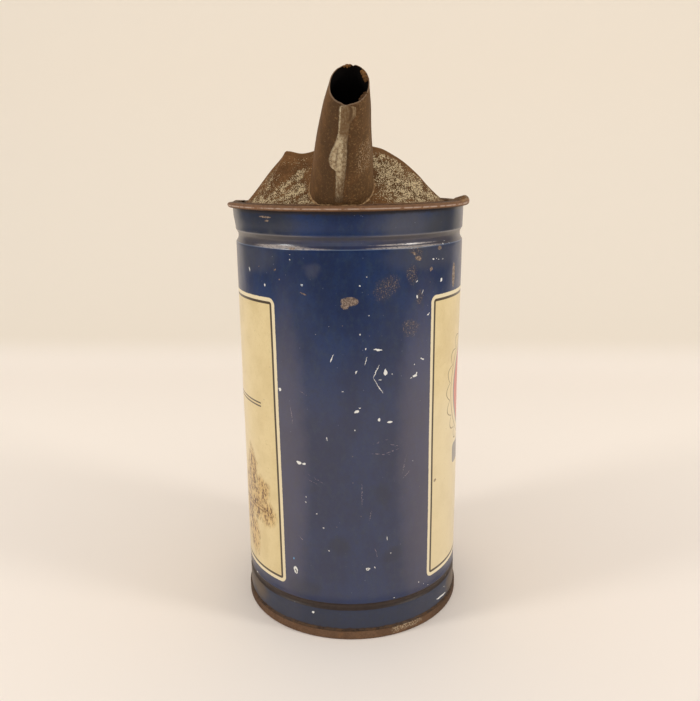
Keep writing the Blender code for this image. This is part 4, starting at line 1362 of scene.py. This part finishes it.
def strip_finish():
    """The seam strip: bright blob, browned right half, thin bright left line above, faded foot, painted
    shade along its edges.
    """
    f = Finish("strip_solder")
    grime, pit = solder_ground(f, (186, 168, 136), (144, 122, 92), 0.32)
    f.lay((74, 54, 34), f.band(f.cloud(0.6, 4, move=30, roughness=0.75), 0.56, 0.62), 0.75)
    f.lay((212, 194, 160), f.band(f.cloud(0.5, 4, (1, 1, 0.5), move=70, roughness=0.75), 0.56, 0.64), 0.65)
    side = f.times(f.calc("COSINE", f.times(f.kept("across"), 2 * pi)), -1.0)
    along = f.kept("along")
    streak = f.band(f.cloud(0.45, 3, (1, 1, 0.25)), 0.35, 0.65)
    f.lay((98, 74, 48), f.band(side, 0.10, 0.45), f.line(streak, 0.5, 0.35))
    beside_blob = f.window(along, 0.36, 0.41, 0.57, 0.62)
    f.lay((88, 66, 44), f.stripe(side, -0.36, 0.12, 0.03), beside_blob, 0.55)
    # Painted shade along both edges of the strip
    f.lay((78, 58, 40), f.band(f.calc("ABSOLUTE", side), 0.80, 0.97), 0.6)
    f.lay((106, 80, 52), f.band(along, 0.66, 0.74), f.band(side, -0.72, -0.58), f.line(streak, 0.25, 0.75))
    f.lay((78, 54, 32), f.band(along, 0.84, 0.88), f.band(side, 0.35, 0.50), 0.7)
    prong = f.times(f.band(along, 0.84, 0.94), f.band(side, 0.62, 0.72))
    f.lay((160, 136, 102), prong, f.line(streak, 0.5, 0.2))
    f.lay((92, 68, 44), f.band(along, 0.40, 0.12), f.line(streak, 0.55, 0.40))
    f.lay((72, 52, 32), f.band(along, 0.13, 0.03), 0.8)
    return f.close(*solder_relief(f, grime, pit), 0.1)


def black_bore_finish():
    """The sooty inside of the spout."""
    f = Finish("sooty_bore")
    f.colour = f.over(f.cloud(1.5, 4), (8, 6, 5), (18, 13, 10))
    return f.close(0.9, f.times(f.cloud(0.8, 4), 0.05), shine=0.1)


def sweep_finish():
    """Warm white paper, a little lighter on the floor than up the back, with a painted pool of light on the
    floor behind the can.
    """
    f = Finish("warm_paper")
    split = f.fed("SeparateXYZ", (f.place,))
    # The floor behind the can painted lighter, a painted pool of light
    f.colour = f.over(f.band(split.outputs["Y"], 0.0, 0.20), (245, 235, 226), (253, 243, 233))
    f.lay((242, 231, 216), f.band(split.outputs["Z"], 0.002, 0.018))
    f.fill(f.shader, {"Base Color": f.colour, "Roughness": 0.9, "Specular IOR Level": 0.1})
    return f.material


def make_sweep(finish):
    """A seamless paper sweep: the floor, a wide bend and the back."""
    flat = SWEEP_BEND_START - SWEEP_FRONT
    bend = QUARTER * SWEEP_BEND_RADIUS
    back = SWEEP_TOP - SWEEP_BEND_RADIUS

    def place(across, along):
        side = SWEEP_HALF_WIDTH * (2 * across - 1)
        run = along * (flat + bend + back)
        if run <= flat:
            return Vector((side, SWEEP_FRONT + run, 0))
        angle = min((run - flat) / SWEEP_BEND_RADIUS, QUARTER)
        depth = SWEEP_BEND_START + SWEEP_BEND_RADIUS * sin(angle)
        height = SWEEP_BEND_RADIUS * (1 - cos(angle)) + max(run - flat - bend, 0)
        return Vector((side, depth, height))

    sweep = put("paper_sweep", finished_mesh("paper_sweep", laid_sheet(2, SWEEP_ROWS, place), (finish,)))


def make_lamp(name, azimuth):
    """A soft lamp beside the camera, turned to the can."""
    light = bpy.data.lights.new(name, "AREA")
    light.shape = "DISK"
    light.size = LAMP_SIZE
    light.energy = LAMP_POWER
    light.color = LAMP_COLOUR
    lamp = put(name, light)
    place = around(LAMP_DISTANCE, azimuth, LAMP_HEIGHT)
    aim = Vector((0, 0, FLANGE_TOP / 2)) - place
    lamp.matrix_world = Matrix.Translation(place) @ aim.to_track_quat("-Z", "Y").to_matrix().to_4x4()


def make_room():
    """An even warm-white room; only reflections see that it is dark beside the paper."""
    world = bpy.data.worlds.new("room")
    world.use_nodes = True
    nodes = Nodes(world.node_tree)
    direction = nodes.fed("TexCoord").outputs["Generated"]
    behind = nodes.band(nodes.vector("DOT_PRODUCT", direction, around(1, 0, 0)), *DARK_SIDE_FADE)
    mirrored = nodes.times(behind, nodes.fed("LightPath").outputs["Is Glossy Ray"])
    strength = nodes.line(mirrored, -DARK_SIDE * ROOM_STRENGTH, ROOM_STRENGTH)
    nodes.fill(nodes.tree.nodes["Background"], {"Color": (*ROOM_COLOUR, 1.0), "Strength": strength})
    bpy.context.scene.world = world


def make_camera():
    """The photograph's view."""
    data = bpy.data.cameras.new("photo_view")
    data.sensor_fit = "HORIZONTAL"
    data.sensor_width = SENSOR_WIDTH
    data.lens = CAMERA_LENS
    data.clip_start = 0.01
    camera = put("photo_view", data)
    heading = Matrix.Rotation(CAMERA_HEADING, 4, "Z")
    pitch = Matrix.Rotation(QUARTER - CAMERA_PITCH, 4, "X")
    roll = Matrix.Rotation(CAMERA_ROLL, 4, "Z")
    camera.matrix_world = Matrix.Translation(CAMERA_PLACE) @ heading @ pitch @ roll
    bpy.context.scene.camera = camera


def main():
    inner_tin = inner_tin_finish()
    foot_solder = solder_finish("foot_solder", (170, 136, 94), (106, 76, 47), 0.45)
    seam_solder = solder_finish("seam_solder", (140, 134, 124), (98, 90, 82), 0.45)
    base_solder = solder_finish("base_solder", (84, 66, 52), (56, 44, 38), 0.6)
    make_wall(litho_finish(), inner_tin)
    make_side_seam(seam_solder)
    make_bottom_cap(base_finish(), inner_tin)
    make_bottom_bead(base_solder)
    make_hood(hood_finish())
    make_spout(spout_finish(), black_bore_finish())
    make_crusts(crust_finish())
    make_strip(strip_finish())
    make_foot_fillet(foot_solder)
    make_sweep(sweep_finish())
    make_lamp("left_lamp", LEFT_LAMP_AZIMUTH)
    make_lamp("right_lamp", RIGHT_LAMP_AZIMUTH)
    make_room()
    make_camera()
    bpy.context.scene.view_settings.view_transform = "Standard"


main()
